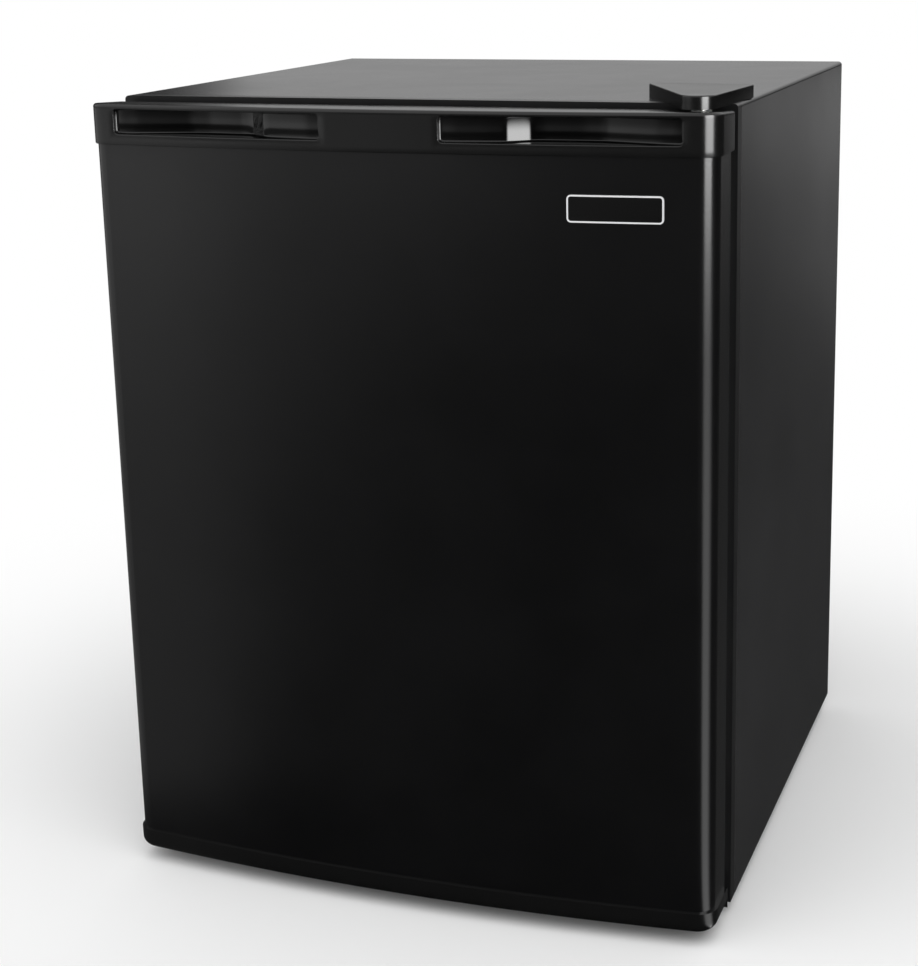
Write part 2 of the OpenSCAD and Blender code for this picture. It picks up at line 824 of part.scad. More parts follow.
module thermostat_housing() {
    color([0.94, 0.94, 0.93]) in_place() difference() {
        along_y(dial_y, dial_y + stat_d) stat_plan(0, stat_h);
        along_y(dial_y + stat_t, dial_y + stat_d - stat_t) stat_plan(stat_t, stat_h + 1);
        translate([dial_x, dial_y - 1, dial_z]) rotate([-90, 0, 0]) cylinder(d = shaft_d + 1.2, h = 4);
        translate([sx0 - 1, dial_y + sense_y, dial_z]) rotate([0, 90, 0])
            cylinder(r = sense_d / 2 + 0.5, h = 4);
    }
}

module thermostat_switch() {
    color([0.80, 0.80, 0.78]) in_place() difference() {
        union() {
            span([dial_x - switch_hw, dial_y + 14, dial_z - 14],
                [dial_x + switch_hw, dial_y + 54, dial_z + 14]);
            translate([dial_x, dial_y + 2, dial_z]) rotate([-90, 0, 0]) cylinder(r = 7, h = 13);
        }
        translate([dial_x, dial_y + 1, dial_z]) rotate([-90, 0, 0])
            cylinder(d = shaft_d + 2 * pivot_fit, h = 16);
    }
}

module thermostat_dial() {
    color([0.92, 0.92, 0.91]) in_place() {
        translate([dial_x, dial_y - seam, dial_z]) rotate([90, 0, 0]) difference() {
            union() {
                cylinder(d = dial_d, h = 4);
                cylinder(d = dial_d - 6, h = dial_t);
                translate([0, 0, -14]) cylinder(d = shaft_d, h = 15);
            }
            translate([-1, dial_d / 2 - 9, dial_t - 1]) cube([2, 8, 3]);
        }
    }
}

module sensing_tube() {
    x = ex1 + 3.2;
    y = dial_y + sense_y;
    color([0.72, 0.45, 0.30]) in_place() {
        rod([dial_x - switch_hw, y, dial_z], [x, y, dial_z], sense_d / 2);
        rod([x, y - 3, dial_z], [x, y + 80, dial_z], bulb_d / 2);
    }
}

// ---- hinges ----

module top_hinge_plate() {
    x = hw - plate_edge - plate_corner;
    y = plate_reach - plate_corner;
    color([0.70, 0.71, 0.73]) in_place() union() {
        difference() {
            along_z(cab_top, cab_top + plate_t)
                wrapped([[pin_x, -pin_y, ear_r], [x, y, plate_corner],
                    [x - plate_w + 2 * plate_corner, y, plate_corner]]);
            upright_holes(top_screws, screw_hole_r, cab_top - 1, cab_top + plate_t + 1);
        }
        translate([pin_x, -pin_y, door_hi - pin_reach])
            cylinder(d = pin_d, h = cab_top + plate_t + stud_t - door_hi + pin_reach);
    }
}

module hinge_cover() {
    color([0.05, 0.05, 0.055]) in_place() difference() {
        along_z(cab_top, cab_top + cover_h) cover_plan(0);
        along_z(cab_top - 1, cab_top + cover_h - cover_t) cover_plan(cover_t);
    }
}

module bottom_hinge_bracket() {
    x = hw - plate_edge - bracket_corner;
    y = bracket_reach - bracket_corner;
    color([0.70, 0.71, 0.73]) in_place() union() {
        difference() {
            along_z(foot_h - bracket_t, foot_h)
                wrapped([[pin_x, -pin_y, ear_r], [x, y, bracket_corner],
                    [x - bracket_w + 2 * bracket_corner, y, bracket_corner]]);
            upright_holes(toe_screws, screw_hole_r, foot_h - bracket_t - 1, foot_h + 1);
        }
        translate([pin_x, -pin_y, foot_h - bracket_t - stud_t])
            cylinder(d = pin_d, h = door_lo + bracket_t + stud_t - foot_h + pin_reach);
    }
}

module hinge_screws() {
    r = screw_head_d / 2;
    color([0.75, 0.75, 0.76]) in_place() {
        for (p = top_screws) {
            translate([p[0], p[1], cab_top + plate_t]) cylinder(r1 = r, r2 = r - 1, h = screw_head_t);
            translate([p[0], p[1], cab_top - screw_l]) cylinder(d = screw_d, h = screw_l + plate_t + 1);
        }
        for (p = toe_screws) {
            translate([p[0], p[1], foot_h - bracket_t - screw_head_t])
                cylinder(r1 = r - 1, r2 = r, h = screw_head_t);
            translate([p[0], p[1], foot_h - bracket_t - 1])
                cylinder(d = screw_d, h = bracket_t + screw_l + 1);
        }
    }
}

module hinge_washer() {
    color([0.93, 0.93, 0.90]) in_place() translate([pin_x, -pin_y, foot_h]) difference() {
        cylinder(r = 8, h = washer_t);
        translate([0, 0, -1]) cylinder(d = pin_d + 0.4, h = washer_t + 2);
    }
}

// ---- back ----

// Screw positions on the back as [x, z]
function panel_points() =
    [for (s = [-1, 1], z = [coil_lo - 24, (coil_lo + coil_hi) / 2, cab_top - 12]) [s * (hw - 14), z]];
function clip_points() =
    [for (s = [-1, 1], i = [1, run_n - 2], d = [-clip_dz, clip_dz]) [s * clip_x, coil_lo + i * pitch + d]];

module rear_holes(r) {
    for (p = concat(panel_points(), clip_points()))
        translate([p[0], cab_d - rear_screw_l - 2, p[1]]) rotate([-90, 0, 0]) cylinder(r = r, h = 20);
}

module condenser_coil() {
    r = coil_d / 2;
    color([0.10, 0.10, 0.11]) in_place() union() {
        for (i = [0 : run_n - 1]) {
            a = i == run_n - 1 ? riser_x : coil_hw + 0.6;
            b = i == 0 ? -riser_x : -coil_hw - 0.6;
            rod([b, coil_y, coil_lo + i * pitch], [a, coil_y, coil_lo + i * pitch], r);
        }
        for (i = [0 : run_n - 2]) {
            s = i % 2 == 0 ? 1 : -1;
            translate([s * coil_hw, coil_y, coil_lo + (i + 0.5) * pitch]) rotate([90, 0, 0])
                rotate([0, 0, s > 0 ? -90 : 90]) rotate_extrude(angle = 180) translate([pitch / 2, 0])
                    circle(r = r * 1.02);
        }
        translate([-riser_x, coil_y, coil_lo]) sphere(r = r * 1.03);
        tube_path([[-riser_x, coil_y, coil_lo], [-riser_x, coil_y, bay_top - 15],
            [-riser_x, drier_y, bay_top - 15], [-riser_x, drier_y, bay_top - 24]], r);
    }
}

module condenser_wires() {
    off = coil_d / 2 + wire_d / 2;
    color([0.10, 0.10, 0.11]) in_place()
        for (i = [0 : wire_n - 1], s = [-1, 1])
            translate([(i + 1) * wire_step - coil_hw, coil_y + s * off, coil_lo - 12])
                cylinder(d = wire_d, h = coil_hi - coil_lo + 24);
}

module condenser_clips() {
    color([0.12, 0.12, 0.13]) in_place() for (s = [-1, 1], i = [1, run_n - 2]) {
        x = s * clip_x;
        z = coil_lo + i * pitch;
        difference() {
            union() {
                span([x - clip_w / 2, cab_d, z - 16], [x + clip_w / 2, cab_d + clip_t, z + 16]);
                span([x - clip_w / 2, cab_d + 1, z - 5], [x + clip_w / 2, coil_y + coil_d / 2 + 1, z + 5]);
            }
            rod([x - 20, coil_y, z], [x + 20, coil_y, z], coil_d / 2);
            for (d = [-clip_dz, clip_dz])
                translate([x, cab_d - 1, z + d]) rotate([-90, 0, 0])
                    cylinder(r = clip_hole_r, h = clip_t + 3);
        }
    }
}

// One screw whose head rests raised above the back panel
module rear_screw(p, raised) {
    r = rear_head_d / 2;
    translate([p[0], cab_d + raised, p[1]]) rotate([-90, 0, 0])
        cylinder(r1 = r, r2 = r - 0.8, h = rear_head_t);
    translate([p[0], cab_d - rear_screw_l, p[1]]) rotate([-90, 0, 0])
        cylinder(d = rear_screw_d, h = rear_screw_l + raised + 1);
}

module rear_screws() {
    color([0.65, 0.65, 0.66]) in_place() {
        for (p = panel_points()) rear_screw(p, 0);
        for (p = clip_points()) rear_screw(p, clip_t);
    }
}

module cross_rail() {
    color([0.55, 0.56, 0.57]) in_place() difference() {
        union() {
            span([0.1 + sheet - hw, rail_y0, foot_h], [hw - sheet - 0.1, rail_y2, foot_h + rail_t]);
            span([0.1 + sheet - hw, rail_y0, foot_h], [hw - sheet - 0.1, rail_y0 + rail_edge_t, foot_h + 18]);
            span([0.1 + sheet - hw, rail_y2 - rail_edge_t, foot_h], [hw - sheet - 0.1, rail_y2, foot_h + 12]);
            span([gland_x - 16, rail_y2 - rail_edge_t, foot_h], [gland_x + 16, rail_y2, gland_z + 14]);
        }
        translate([gland_x, rail_y2 - 3, gland_z]) rotate([-90, 0, 0])
            cylinder(r = gland_neck_r + 0.1, h = 6);
        for (s = [-1, 1], t = [-1, 1])
            translate([comp_x + s * bolt_dx, comp_y + t * bolt_dy, foot_h - 1])
                cylinder(r = bolt_hole_r, h = rail_t + 2);
    }
}

module compressor_shell() {
    r = comp_d / 2;
    color([0.09, 0.09, 0.10]) in_place() translate([comp_x, comp_y, comp_z]) union() {
        rotate_extrude() union() {
            square([r - comp_low_r, comp_h]);
            translate([0, comp_low_r]) square([r, comp_h - comp_low_r - comp_top_r]);
            translate([0, comp_low_r]) square([r - comp_top_r, comp_h - comp_low_r]);
            translate([r - comp_low_r, comp_low_r]) circle(r = comp_low_r);
            translate([r - comp_top_r, comp_h - comp_top_r]) circle(r = comp_top_r);
        }
        translate([0, 0, comp_h * 0.52]) cylinder(r = r + 1.6, h = 4);
    }
}

module compressor_foot_plate() {
    lip = 13;
    color([0.09, 0.09, 0.10]) in_place() difference() {
        translate([comp_x, comp_y, 0]) along_z(comp_z - foot_plate_t, comp_z)
            soft_rect(-bolt_dx - lip, -bolt_dy - lip, bolt_dx + lip, bolt_dy + lip, lip - 1);
        for (s = [-1, 1], t = [-1, 1])
            translate([comp_x + s * bolt_dx, comp_y + t * bolt_dy, comp_z - 10])
                cylinder(r = bolt_hole_r, h = 20);
    }
}

module compressor_mounts() {
    z = foot_h + rail_t;
    flange_r = 10;
    flange_t = 4;
    color([0.07, 0.07, 0.07]) in_place() for (s = [-1, 1], t = [-1, 1])
        translate([comp_x + s * bolt_dx, comp_y + t * bolt_dy, z]) difference() {
            union() {
                cylinder(r = flange_r, h = flange_t);
                translate([0, 0, mount_h - flange_t]) cylinder(r = flange_r, h = flange_t);
                cylinder(r = flange_r - 2.5, h = mount_h);
            }
            translate([0, 0, -1]) cylinder(r = bolt_hole_r, h = mount_h + 2);
        }
}

module compressor_bolts() {
    stack = rail_t + mount_h + foot_plate_t;
    color([0.70, 0.70, 0.72]) in_place() for (s = [-1, 1], t = [-1, 1])
        translate([comp_x + s * bolt_dx, comp_y + t * bolt_dy, foot_h]) union() {
            translate([0, 0, -bolt_head_t]) cylinder(d = hex_d, h = bolt_head_t, $fn = 6);
            translate([0, 0, -1]) cylinder(d = bolt_d, h = stack + 9);
            translate([0, 0, stack]) cylinder(d = hex_d, h = nut_t, $fn = 6);
        }
}

module terminal_cover() {
    x = comp_x - comp_d / 2;
    z0 = comp_z + 20;
    hy = term_w / 2;
    color([0.10, 0.10, 0.11]) in_place() difference() {
        span([x - term_out, comp_y - hy, z0], [x + 8, comp_y + hy, z0 + term_h]);
        span([x + term_t - term_out, comp_y - hy + term_t, z0 + term_t],
            [x + 9, comp_y + hy - term_t, z0 + term_h - term_t]);
        translate([comp_x, comp_y, comp_z]) cylinder(r = comp_d / 2 + 0.2, h = comp_h);
    }
}

module discharge_tube() {
    x = comp_x + comp_d / 2;
    z = comp_z + 88;
    color([0.72, 0.45, 0.30]) in_place() tube_path([[x + 0.1, comp_y, z], [x + 34, comp_y, z],
        [x + 34, coil_y, z], [riser_x, coil_y, z], [riser_x, coil_y, coil_hi - coil_d / 2 - 0.1]],
        coil_d / 2);
}

module suction_tube() {
    x = comp_x - comp_d / 2;
    z = comp_z + 104;
    color([0.72, 0.45, 0.30]) in_place() tube_path([[x - 0.1, comp_y, z], [suct_x, comp_y, z],
        [suct_x, comp_y, bay_top + 14]], suct_d / 2);
}

module capillary_tube() {
    x = -130;
    zl = drier_lo - 15;
    zh = comp_z + 120;
    color([0.72, 0.45, 0.30]) in_place() tube_path([[-riser_x, drier_y, drier_lo], [-riser_x, drier_y, zl],
        [x, drier_y, zl], [x, comp_y, zl], [x, comp_y, zh], [cap_x, comp_y, zh],
        [cap_x, comp_y, bay_top + 14]], capil_d / 2);
}

module process_tube() {
    y = comp_y + comp_d / 2;
    z = comp_z + 92;
    color([0.72, 0.45, 0.30]) in_place() tube_path([[comp_x, y + 0.1, z], [comp_x, y + 8, z],
        [comp_x, y + 8, comp_z + 130]], process_d / 2);
}

module filter_drier() {
    r = drier_d / 2;
    cone = 10;
    tip = bay_top - 24 - drier_lo - cone - drier_l - 0.1;
    color([0.72, 0.45, 0.30]) in_place() translate([-riser_x, drier_y, drier_lo]) union() {
        translate([0, 0, cone]) cylinder(r = r, h = drier_l);
        cylinder(r1 = 2, r2 = r, h = cone);
        translate([0, 0, cone + drier_l]) cylinder(r1 = r, r2 = 3, h = tip);
    }
}

module cord_gland() {
    color([0.06, 0.06, 0.06]) in_place() translate([gland_x, rail_y2, gland_z]) rotate([-90, 0, 0])
    difference() {
        union() {
            translate([0, 0, -rail_edge_t]) cylinder(r = gland_neck_r, h = rail_edge_t);
            translate([0, 0, -rail_edge_t - 3.5]) cylinder(d = gland_d, h = 3.5);
            cylinder(d1 = gland_d, d2 = gland_d - 4, h = 6);
        }
        translate([0, 0, -6]) cylinder(d = gland_bore, h = 14);
    }
}

module rear_feet() {
    color([0.07, 0.07, 0.07]) in_place() for (s = [-1, 1])
        translate([s * rear_x, rail_y2 - 20, 0]) cylinder(d1 = rear_foot_d, d2 = rear_foot_d + 4, h = foot_h);
}

// ---- front feet ----

module foot_sockets() {
    color([0.90, 0.90, 0.88]) in_place() for (s = [-1, 1]) difference() {
        translate([s * foot_x, foot_y, z_base]) cylinder(r = socket_r, h = socket_h);
        translate([s * foot_x, foot_y, z_base - 1]) cylinder(d = stem_d + 2 * pivot_fit, h = socket_h - 1);
    }
}

module foot(s) {
    color([0.07, 0.07, 0.07]) in_place() translate([s * foot_x, foot_y, 0]) union() {
        cylinder(d1 = foot_d - 2, d2 = foot_d, h = 1.5);
        translate([0, 0, 1.5]) cylinder(d = foot_d, h = foot_h - 5);
        translate([0, 0, 1]) cylinder(d = stem_d, h = foot_h + stem_l);
    }
}

module foot_left() {
    foot(-1);
}

module foot_right() {
    foot(1);
}

// ---- door ----

module door_skin() {
    color([0.035, 0.035, 0.04]) in_place() union() {
        difference() {
            along_z(skin_lo, skin_hi) door_plan(cap_lip, plate_y - liner_t);
            along_z(skin_lo - 1, skin_hi + 1) door_plan(cap_lip + sheet, 5);
        }
        for (s = [-1, 1])
            span([s > 0 ? hw - cap_lip - 14 : cap_lip - hw + 0.4, plate_y - liner_t - sheet, skin_lo],
                [s > 0 ? hw - cap_lip - 0.4 : cap_lip - hw + 14, plate_y - liner_t, skin_hi]);
    }
}

module door_top_cap() {
    color([0.06, 0.06, 0.06]) in_place() difference() {
        hull() {
            along_z(skin_hi, door_hi - cap_r) door_plan(0, plate_y);
            for (k = [1 : 3]) let (a = 30 * k)
                along_z(skin_hi + 1, door_hi - cap_r + cap_r * sin(a))
                    door_plan(cap_r * (1 - cos(a)), plate_y);
        }
        along_z(skin_hi - 1, door_hi - cap_t) door_plan(cap_t, plate_y - cap_t);
        for (s = [-1, 1]) along_y(front_y - 5, -grip_back) grip_plan(s, 0);
        translate([pin_x, -pin_y, skin_hi]) cylinder(d = bush_d, h = cap_h + 1);
    }
}

module grip_cups() {
    color([0.04, 0.04, 0.04]) in_place() for (s = [-1, 1]) difference() {
        intersection() {
            along_y(front_y - 5, cup_t - grip_back) grip_plan(s, cup_t);
            along_z(skin_hi, door_hi) door_plan(cap_t, 0);
        }
        along_y(front_y - 6, -grip_back) grip_plan(s, 0);
    }
}

module door_bottom_cap() {
    color([0.06, 0.06, 0.06]) in_place() difference() {
        hull() {
            for (k = [1 : 6]) let (a = 15 * k)
                along_z(door_lo + toe_r - toe_r * sin(a), skin_lo - 1)
                    door_plan(toe_r * (1 - cos(a)), plate_y);
            along_z(door_lo + toe_r, skin_lo) door_plan(0, plate_y);
        }
        along_z(door_lo + 3, skin_lo + 1) door_plan(6, plate_y - cap_t);
        translate([pin_x, -pin_y, door_lo - 1]) cylinder(d = bush_d, h = toe_h + 2);
    }
}

module door_bushes() {
    color([0.85, 0.85, 0.82]) in_place() {
        difference() {
            translate([pin_x, -pin_y, door_hi - pin_reach - 4]) cylinder(d = bush_d, h = pin_reach + 3.5);
            translate([pin_x, -pin_y, door_hi - pin_reach - 1])
                cylinder(d = pin_d + 2 * pin_fit, h = pin_reach + 2);
        }
        difference() {
            translate([pin_x, -pin_y, door_lo]) cylinder(d = bush_d, h = pin_reach + 4);
            translate([pin_x, -pin_y, door_lo - 1]) cylinder(d = pin_d + 2 * pin_fit, h = pin_reach + 2);
        }
    }
}

module door_foam() {
    e = cap_lip + sheet + 0.2;
    yb = plate_y - liner_t - sheet - 0.1;
    f = liner_t + 0.2;
    color([0.92, 0.86, 0.62]) in_place() difference() {
        union() {
            along_z(skin_lo, door_hi - cap_t - 0.1) door_plan(e, yb);
            along_z(door_lo + 3.1, skin_lo + 1) door_plan(6.2, yb);
            along_y(yb - 1, dyke_y - f) difference() {
                dyke_plan(f);
                pan_plan(f);
            }
        }
        along_y(pan_y - f, yb + 0.1)
            pan_plan(f);
        for (s = [-1, 1]) along_y(front_y - 5, cup_t + 0.2 - grip_back) grip_plan(s, cup_t + 0.2);
        for (z = [door_lo, door_hi - pin_reach - 5])
            translate([pin_x, -pin_y, z]) cylinder(d = bush_d + 0.4, h = pin_reach + 5);
    }
}

module door_liner() {
    color([0.95, 0.95, 0.94]) in_place() union() {
        difference() {
            union() {
                span([6 - hw, plate_y - liner_t, skin_lo + 0.2], [hw - 6, plate_y, skin_hi - 0.2]);
                along_y(plate_y - liner_t, dyke_y) dyke_plan(0);
                along_y(pan_y - liner_t, plate_y) pan_plan(liner_t);
            }
            along_y(plate_y - liner_t - 1, dyke_y - liner_t) difference() {
                dyke_plan(liner_t);
                pan_plan(liner_t);
            }
            along_y(pan_y, dyke_y + 1) pan_plan(0);
        }
        for (s = [-1, 1], k = [0 : 2])
            translate([s * (pan_hw - 1.5), lug_y, bin_z[k] + lug_up]) rotate([0, 90, 0])
                cylinder(d = lug_d, h = 4, center = true);
    }
}

module door_gasket() {
    color([0.16, 0.16, 0.17]) in_place() difference() {
        along_y(plate_y, -gasket_gap)
            soft_rect(-seal_hw, door_lo + seal_in, seal_hw, door_hi - seal_in, seal_r);
        along_y(plate_y - 1, 1)
            soft_rect(gasket_w - seal_hw, door_lo + seal_in + gasket_w, seal_hw - gasket_w,
                door_hi - seal_in - gasket_w, seal_r / 2);
    }
}

// Badge outline seen from the front, inset by e
module badge_plan(e) {
    x1 = hw - badge_side - e;
    z1 = door_hi - badge_drop - e;
    soft_rect(x1 - badge_w + 2 * e, z1 - badge_h + 2 * e, x1, z1, badge_r - e);
}

module door_badge() {
    color([0.03, 0.03, 0.03]) in_place() difference() {
        intersection() {
            along_y(front_y - 2, 0) badge_plan(badge_rim_w);
            along_z(0, door_hi) door_plan(cap_lip - badge_t + 0.2, 0);
        }
        along_z(-1, door_hi + 1) door_plan(cap_lip, 5);
    }
}

module door_badge_rim() {
    color([0.80, 0.80, 0.82]) in_place() difference() {
        intersection() {
            along_y(front_y - 2, 0) difference() {
                badge_plan(0);
                badge_plan(badge_rim_w);
            }
            along_z(0, door_hi) door_plan(cap_lip - badge_t, 0);
        }
        along_z(-1, door_hi + 1) door_plan(cap_lip, 5);
    }
}

module door_bin(k) {
    z0 = bin_z[k];
    h = bin_hs[k];
    y0 = pan_y + 0.6;
    color([0.80, 0.88, 0.93]) in_place() difference() {
        union() {
            difference() {
                along_z(z0, z0 + h) soft_rect(-bin_hw, y0, bin_hw, bin_reach, bin_r);
                along_z(z0 + bin_t, z0 + h + 1)
                    soft_rect(bin_t - bin_hw, y0 + bin_t, bin_hw - bin_t, bin_reach - bin_t, bin_r - bin_t);
            }
            for (s = [-1, 1])
                span([s > 0 ? bin_hw - 1 : 0.4 - pan_hw, lug_y - 12, z0 + 2],
                    [s > 0 ? pan_hw - 0.4 : 1 - bin_hw, lug_y + 12, z0 + lug_up + lug_d / 2 + 8]);
        }
        for (s = [-1, 1]) {
            x0 = s > 0 ? bin_hw + 0.1 : -pan_hw - 1;
            x1 = s > 0 ? pan_hw + 1 : -bin_hw - 0.1;
            r = lug_d / 2 + lug_gap;
            translate([x0, lug_y, z0 + lug_up]) rotate([0, 90, 0]) cylinder(r = r, h = x1 - x0);
            span([x0, lug_y - r, z0 - 1], [x1, lug_y + r, z0 + lug_up]);
        }
        span([-cab_w, y0 - 1, z0 + h * 0.55], [cab_w, y0 + bin_t + 0.1, z0 + h + 1]);
    }
}

module door_bin_lower() {
    door_bin(0);
}

module door_bin_middle() {
    door_bin(1);
}

module door_bin_upper() {
    door_bin(2);
}

// ---- one line for each node ----

cabinet_wrapper();
front_frame();
back_panel();
base_plate();
compressor_step();
cabinet_foam();
inner_liner();
wire_shelf_lower();
wire_shelf_upper();
evaporator_box();
evaporator_frame();
evaporator_rear_cover();
evaporator_hangers();
evaporator_screws();
tray_rails();
thermostat_housing();
thermostat_switch();
sensing_tube();
top_hinge_plate();
hinge_cover();
bottom_hinge_bracket();
hinge_screws();
hinge_washer();
condenser_coil();
condenser_wires();
condenser_clips();
rear_screws();
cross_rail();
compressor_shell();
compressor_foot_plate();
compressor_mounts();
compressor_bolts();
terminal_cover();
discharge_tube();
suction_tube();
capillary_tube();
process_tube();
filter_drier();
cord_gland();
rear_feet();
foot_sockets();
door_skin();
door_top_cap();
door_bottom_cap();
grip_cups();
door_foam();
door_liner();
door_gasket();
door_bushes();
door_badge();
door_badge_rim();
thermostat_dial();
freezer_flap();
drip_tray();
door_bin_lower();
door_bin_middle();
door_bin_upper();
foot_left();
foot_right();
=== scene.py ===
import math

import bpy
from mathutils import Matrix, Vector


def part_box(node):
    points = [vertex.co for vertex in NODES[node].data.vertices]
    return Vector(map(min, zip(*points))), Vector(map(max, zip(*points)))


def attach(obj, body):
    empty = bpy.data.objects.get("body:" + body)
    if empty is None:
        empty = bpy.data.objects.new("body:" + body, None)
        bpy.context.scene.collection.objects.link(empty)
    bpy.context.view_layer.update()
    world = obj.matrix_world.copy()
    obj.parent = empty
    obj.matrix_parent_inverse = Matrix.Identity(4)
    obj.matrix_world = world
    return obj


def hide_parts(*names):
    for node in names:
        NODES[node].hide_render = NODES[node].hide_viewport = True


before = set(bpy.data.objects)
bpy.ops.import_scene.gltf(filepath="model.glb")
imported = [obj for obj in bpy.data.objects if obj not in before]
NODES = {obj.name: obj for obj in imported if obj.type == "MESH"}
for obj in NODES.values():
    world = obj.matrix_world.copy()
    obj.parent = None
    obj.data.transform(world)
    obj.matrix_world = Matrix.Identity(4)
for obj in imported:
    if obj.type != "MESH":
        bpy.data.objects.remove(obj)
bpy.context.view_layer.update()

# ---- boxes read from the frame; all sizes are in metres ----
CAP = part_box("door_top_cap")
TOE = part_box("door_bottom_cap")
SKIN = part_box("door_skin")
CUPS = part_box("grip_cups")
HALF_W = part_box("cabinet_wrapper")[1].x

# ---- door: its bow, upright corners and caps; the top cap falls by CAP_FALL towards the rear ----
DOOR_BOW = 0.014
DOOR_R = 0.016
CAP_EDGE = 0.0025
CAP_FOOT_R = 0.0008
CAP_FALL, FALL_FROM = 0.0026, 0.004
CAP_LIP = SKIN[0].x - CAP[0].x
LEDGE_IN = 0.001
TOE_EDGE = 0.0085
BOW_R = (HALF_W**2 + DOOR_BOW**2) / (2 * DOOR_BOW)
BOW_Y = CAP[0].y + BOW_R

# ---- finger pockets: the bridge between them, their height, wall and corners ----
GRIP_BRIDGE = 0.090
GRIP_H = 0.0182
CUP_T = 0.002
GRIP_R = 0.003

# ---- hinge cover ----
COVER_CORNER, COVER_NOSE = 0.003, 0.0125
COVER_NOSE_IN, COVER_LEFT_IN = 0.019, 0.009
COVER_EDGE, COVER_CROWN = 0.0012, 0.0005

# ---- condenser and pipes ----
COIL_D = 0.0048
COIL_RUNS = 9
COIL_SIDE = 0.0550
WIRE_OVER = 0.012
DRIER_NECK = 0.009
GAS_LOOP = 0.034
THIN_OUT, THIN_RISE = 0.075, 0.120
GAS_BEND, PIPE_BEND, STUB_BEND = 0.012, 0.014, 0.006

# ---- freezer box: its sheet and the channels raised on it ----
EVAP_T = 0.0016
CHANNEL_HALF_W, CHANNEL_H, CHANNEL_SUNK = 0.0034, 0.0014, 0.0002
CHANNEL_MARGIN, CHANNEL_PITCH = 0.018, 0.023

# ---- thermostat knob and its scale: depths are measured back from the knob's front ----
DIAL_FROM, DIAL_SWEEP = 90.0, 285.0
SHAFT_END, SKIRT_END, GRIP_IN = 0.024, 0.014, 0.003
SHAFT_R, HOLLOW = 0.003, 0.0012
FLUTES, FLUTE_DEPTH = 20, 0.0009
POINTER_AT, POINTER_L = 0.55, 0.62
POINTER_SUNK, POINTER_W, POINTER_H = 0.0009, 0.0016, 0.0006
TICKS, TICK_ROOM = 9, 0.020
TICK_OUT, TICK_END = 0.0028, 0.004
TICK_L, TICK_GROWS, TICK_W, TICK_H = 0.0012, 0.0002, 0.0007, 0.00025


# ---- camera ----
def place_camera():
    """The photograph's viewing angle; the shift is the photograph's framing."""
    yaw, pitch, roll = math.radians(19.2), math.radians(13.4), math.radians(-0.97)
    data = bpy.data.cameras.new("camera")
    data.sensor_width = 36.0
    data.lens = 69.8758
    data.shift_x, data.shift_y = -0.0672878, -0.1086957
    cam = bpy.data.objects.new("camera", data)
    bpy.context.scene.collection.objects.link(cam)
    ahead = Vector((-math.sin(yaw) * math.cos(pitch), math.cos(yaw) * math.cos(pitch), -math.sin(pitch)))
    flat = Vector((math.cos(yaw), math.sin(yaw), 0))
    up = flat.cross(ahead)
    x = math.cos(roll) * flat + math.sin(roll) * up
    y = -math.sin(roll) * flat + math.cos(roll) * up
    place = Matrix.Translation((0.5241, -1.4580, 0.7317))
    cam.matrix_world = place @ Matrix((x, y, -ahead)).transposed().to_4x4()
    bpy.context.scene.camera = cam


# ---- materials; noise scales are waves per metre, reliefs are in metres ----
METAL_RELIEF = 1.5e-5


class Finish:
    """A Principled material with procedural layers on object coordinates, in metres."""

    def __init__(self, name, **sockets):
        self.material = bpy.data.materials.new(name)
        self.material.use_nodes = True
        self.nodes = self.material.node_tree.nodes
        self.links = self.material.node_tree.links
        self.bsdf = self.nodes["Principled BSDF"]
        self.place = self.nodes.new("ShaderNodeTexCoord").outputs["Object"]
        self.height = None
        for key, value in sockets.items():
            self.bsdf.inputs[key.replace("_", " ")].default_value = value

    def scaled(self, scale):
        """Object coordinates, stretched by scale where it is a triple."""
        if not isinstance(scale, tuple):
            return self.place, scale
        m = self.nodes.new("ShaderNodeMapping")
        m.inputs["Scale"].default_value = scale
        self.links.new(self.place, m.inputs["Vector"])
        return m.outputs["Vector"], 1.0

    def noise(self, scale, detail=3.0, rough=0.55, warp=0.0):
        n = self.nodes.new("ShaderNodeTexNoise")
        vector, factor = self.scaled(scale)
        self.links.new(vector, n.inputs["Vector"])
        n.inputs["Scale"].default_value = factor
        n.inputs["Detail"].default_value = detail
        n.inputs["Roughness"].default_value = rough
        n.inputs["Distortion"].default_value = warp
        return n.outputs["Fac"]

    def cells(self, scale, output="Color"):
        n = self.nodes.new("ShaderNodeTexVoronoi")
        vector, factor = self.scaled(scale)
        self.links.new(vector, n.inputs["Vector"])
        n.inputs["Scale"].default_value = factor
        return n.outputs[output]

    def ramp(self, source, stops):
        """Colour ramp from a source value; stops are (position, colour)."""
        r = self.nodes.new("ShaderNodeValToRGB")
        self.links.new(source, r.inputs["Fac"])
        ends = r.color_ramp.elements
        while len(ends) < len(stops):
            ends.new(0.5)
        for e, (at, colour) in zip(ends, stops):
            e.position = at
            e.color = (*colour, 1.0)
        return r.outputs["Color"]

    def spread(self, source, low, high, start, end):
        """Value that goes from low to high as the source goes from start to end."""
        n = self.nodes.new("ShaderNodeMapRange")
        for key, value in zip(("From Min", "From Max", "To Min", "To Max"), (start, end, low, high)):
            n.inputs[key].default_value = value
        self.links.new(source, n.inputs["Value"])
        return n.outputs["Result"]

    def colour(self, source, *stops):
        self.links.new(self.ramp(source, stops), self.bsdf.inputs["Base Color"])
        return self

    def rough(self, source, low, high, start=0.3, end=0.7):
        self.links.new(self.spread(source, low, high, start, end), self.bsdf.inputs["Roughness"])
        return self

    def bump(self, source, depth):
        """Relief of a depth in metres, on top of the relief set before it."""
        b = self.nodes.new("ShaderNodeBump")
        b.inputs["Distance"].default_value = depth
        self.links.new(source, b.inputs["Height"])
        if self.height is not None:
            self.links.new(self.height, b.inputs["Normal"])
        self.height = b.outputs["Normal"]
        self.links.new(self.height, self.bsdf.inputs["Normal"])
        return self


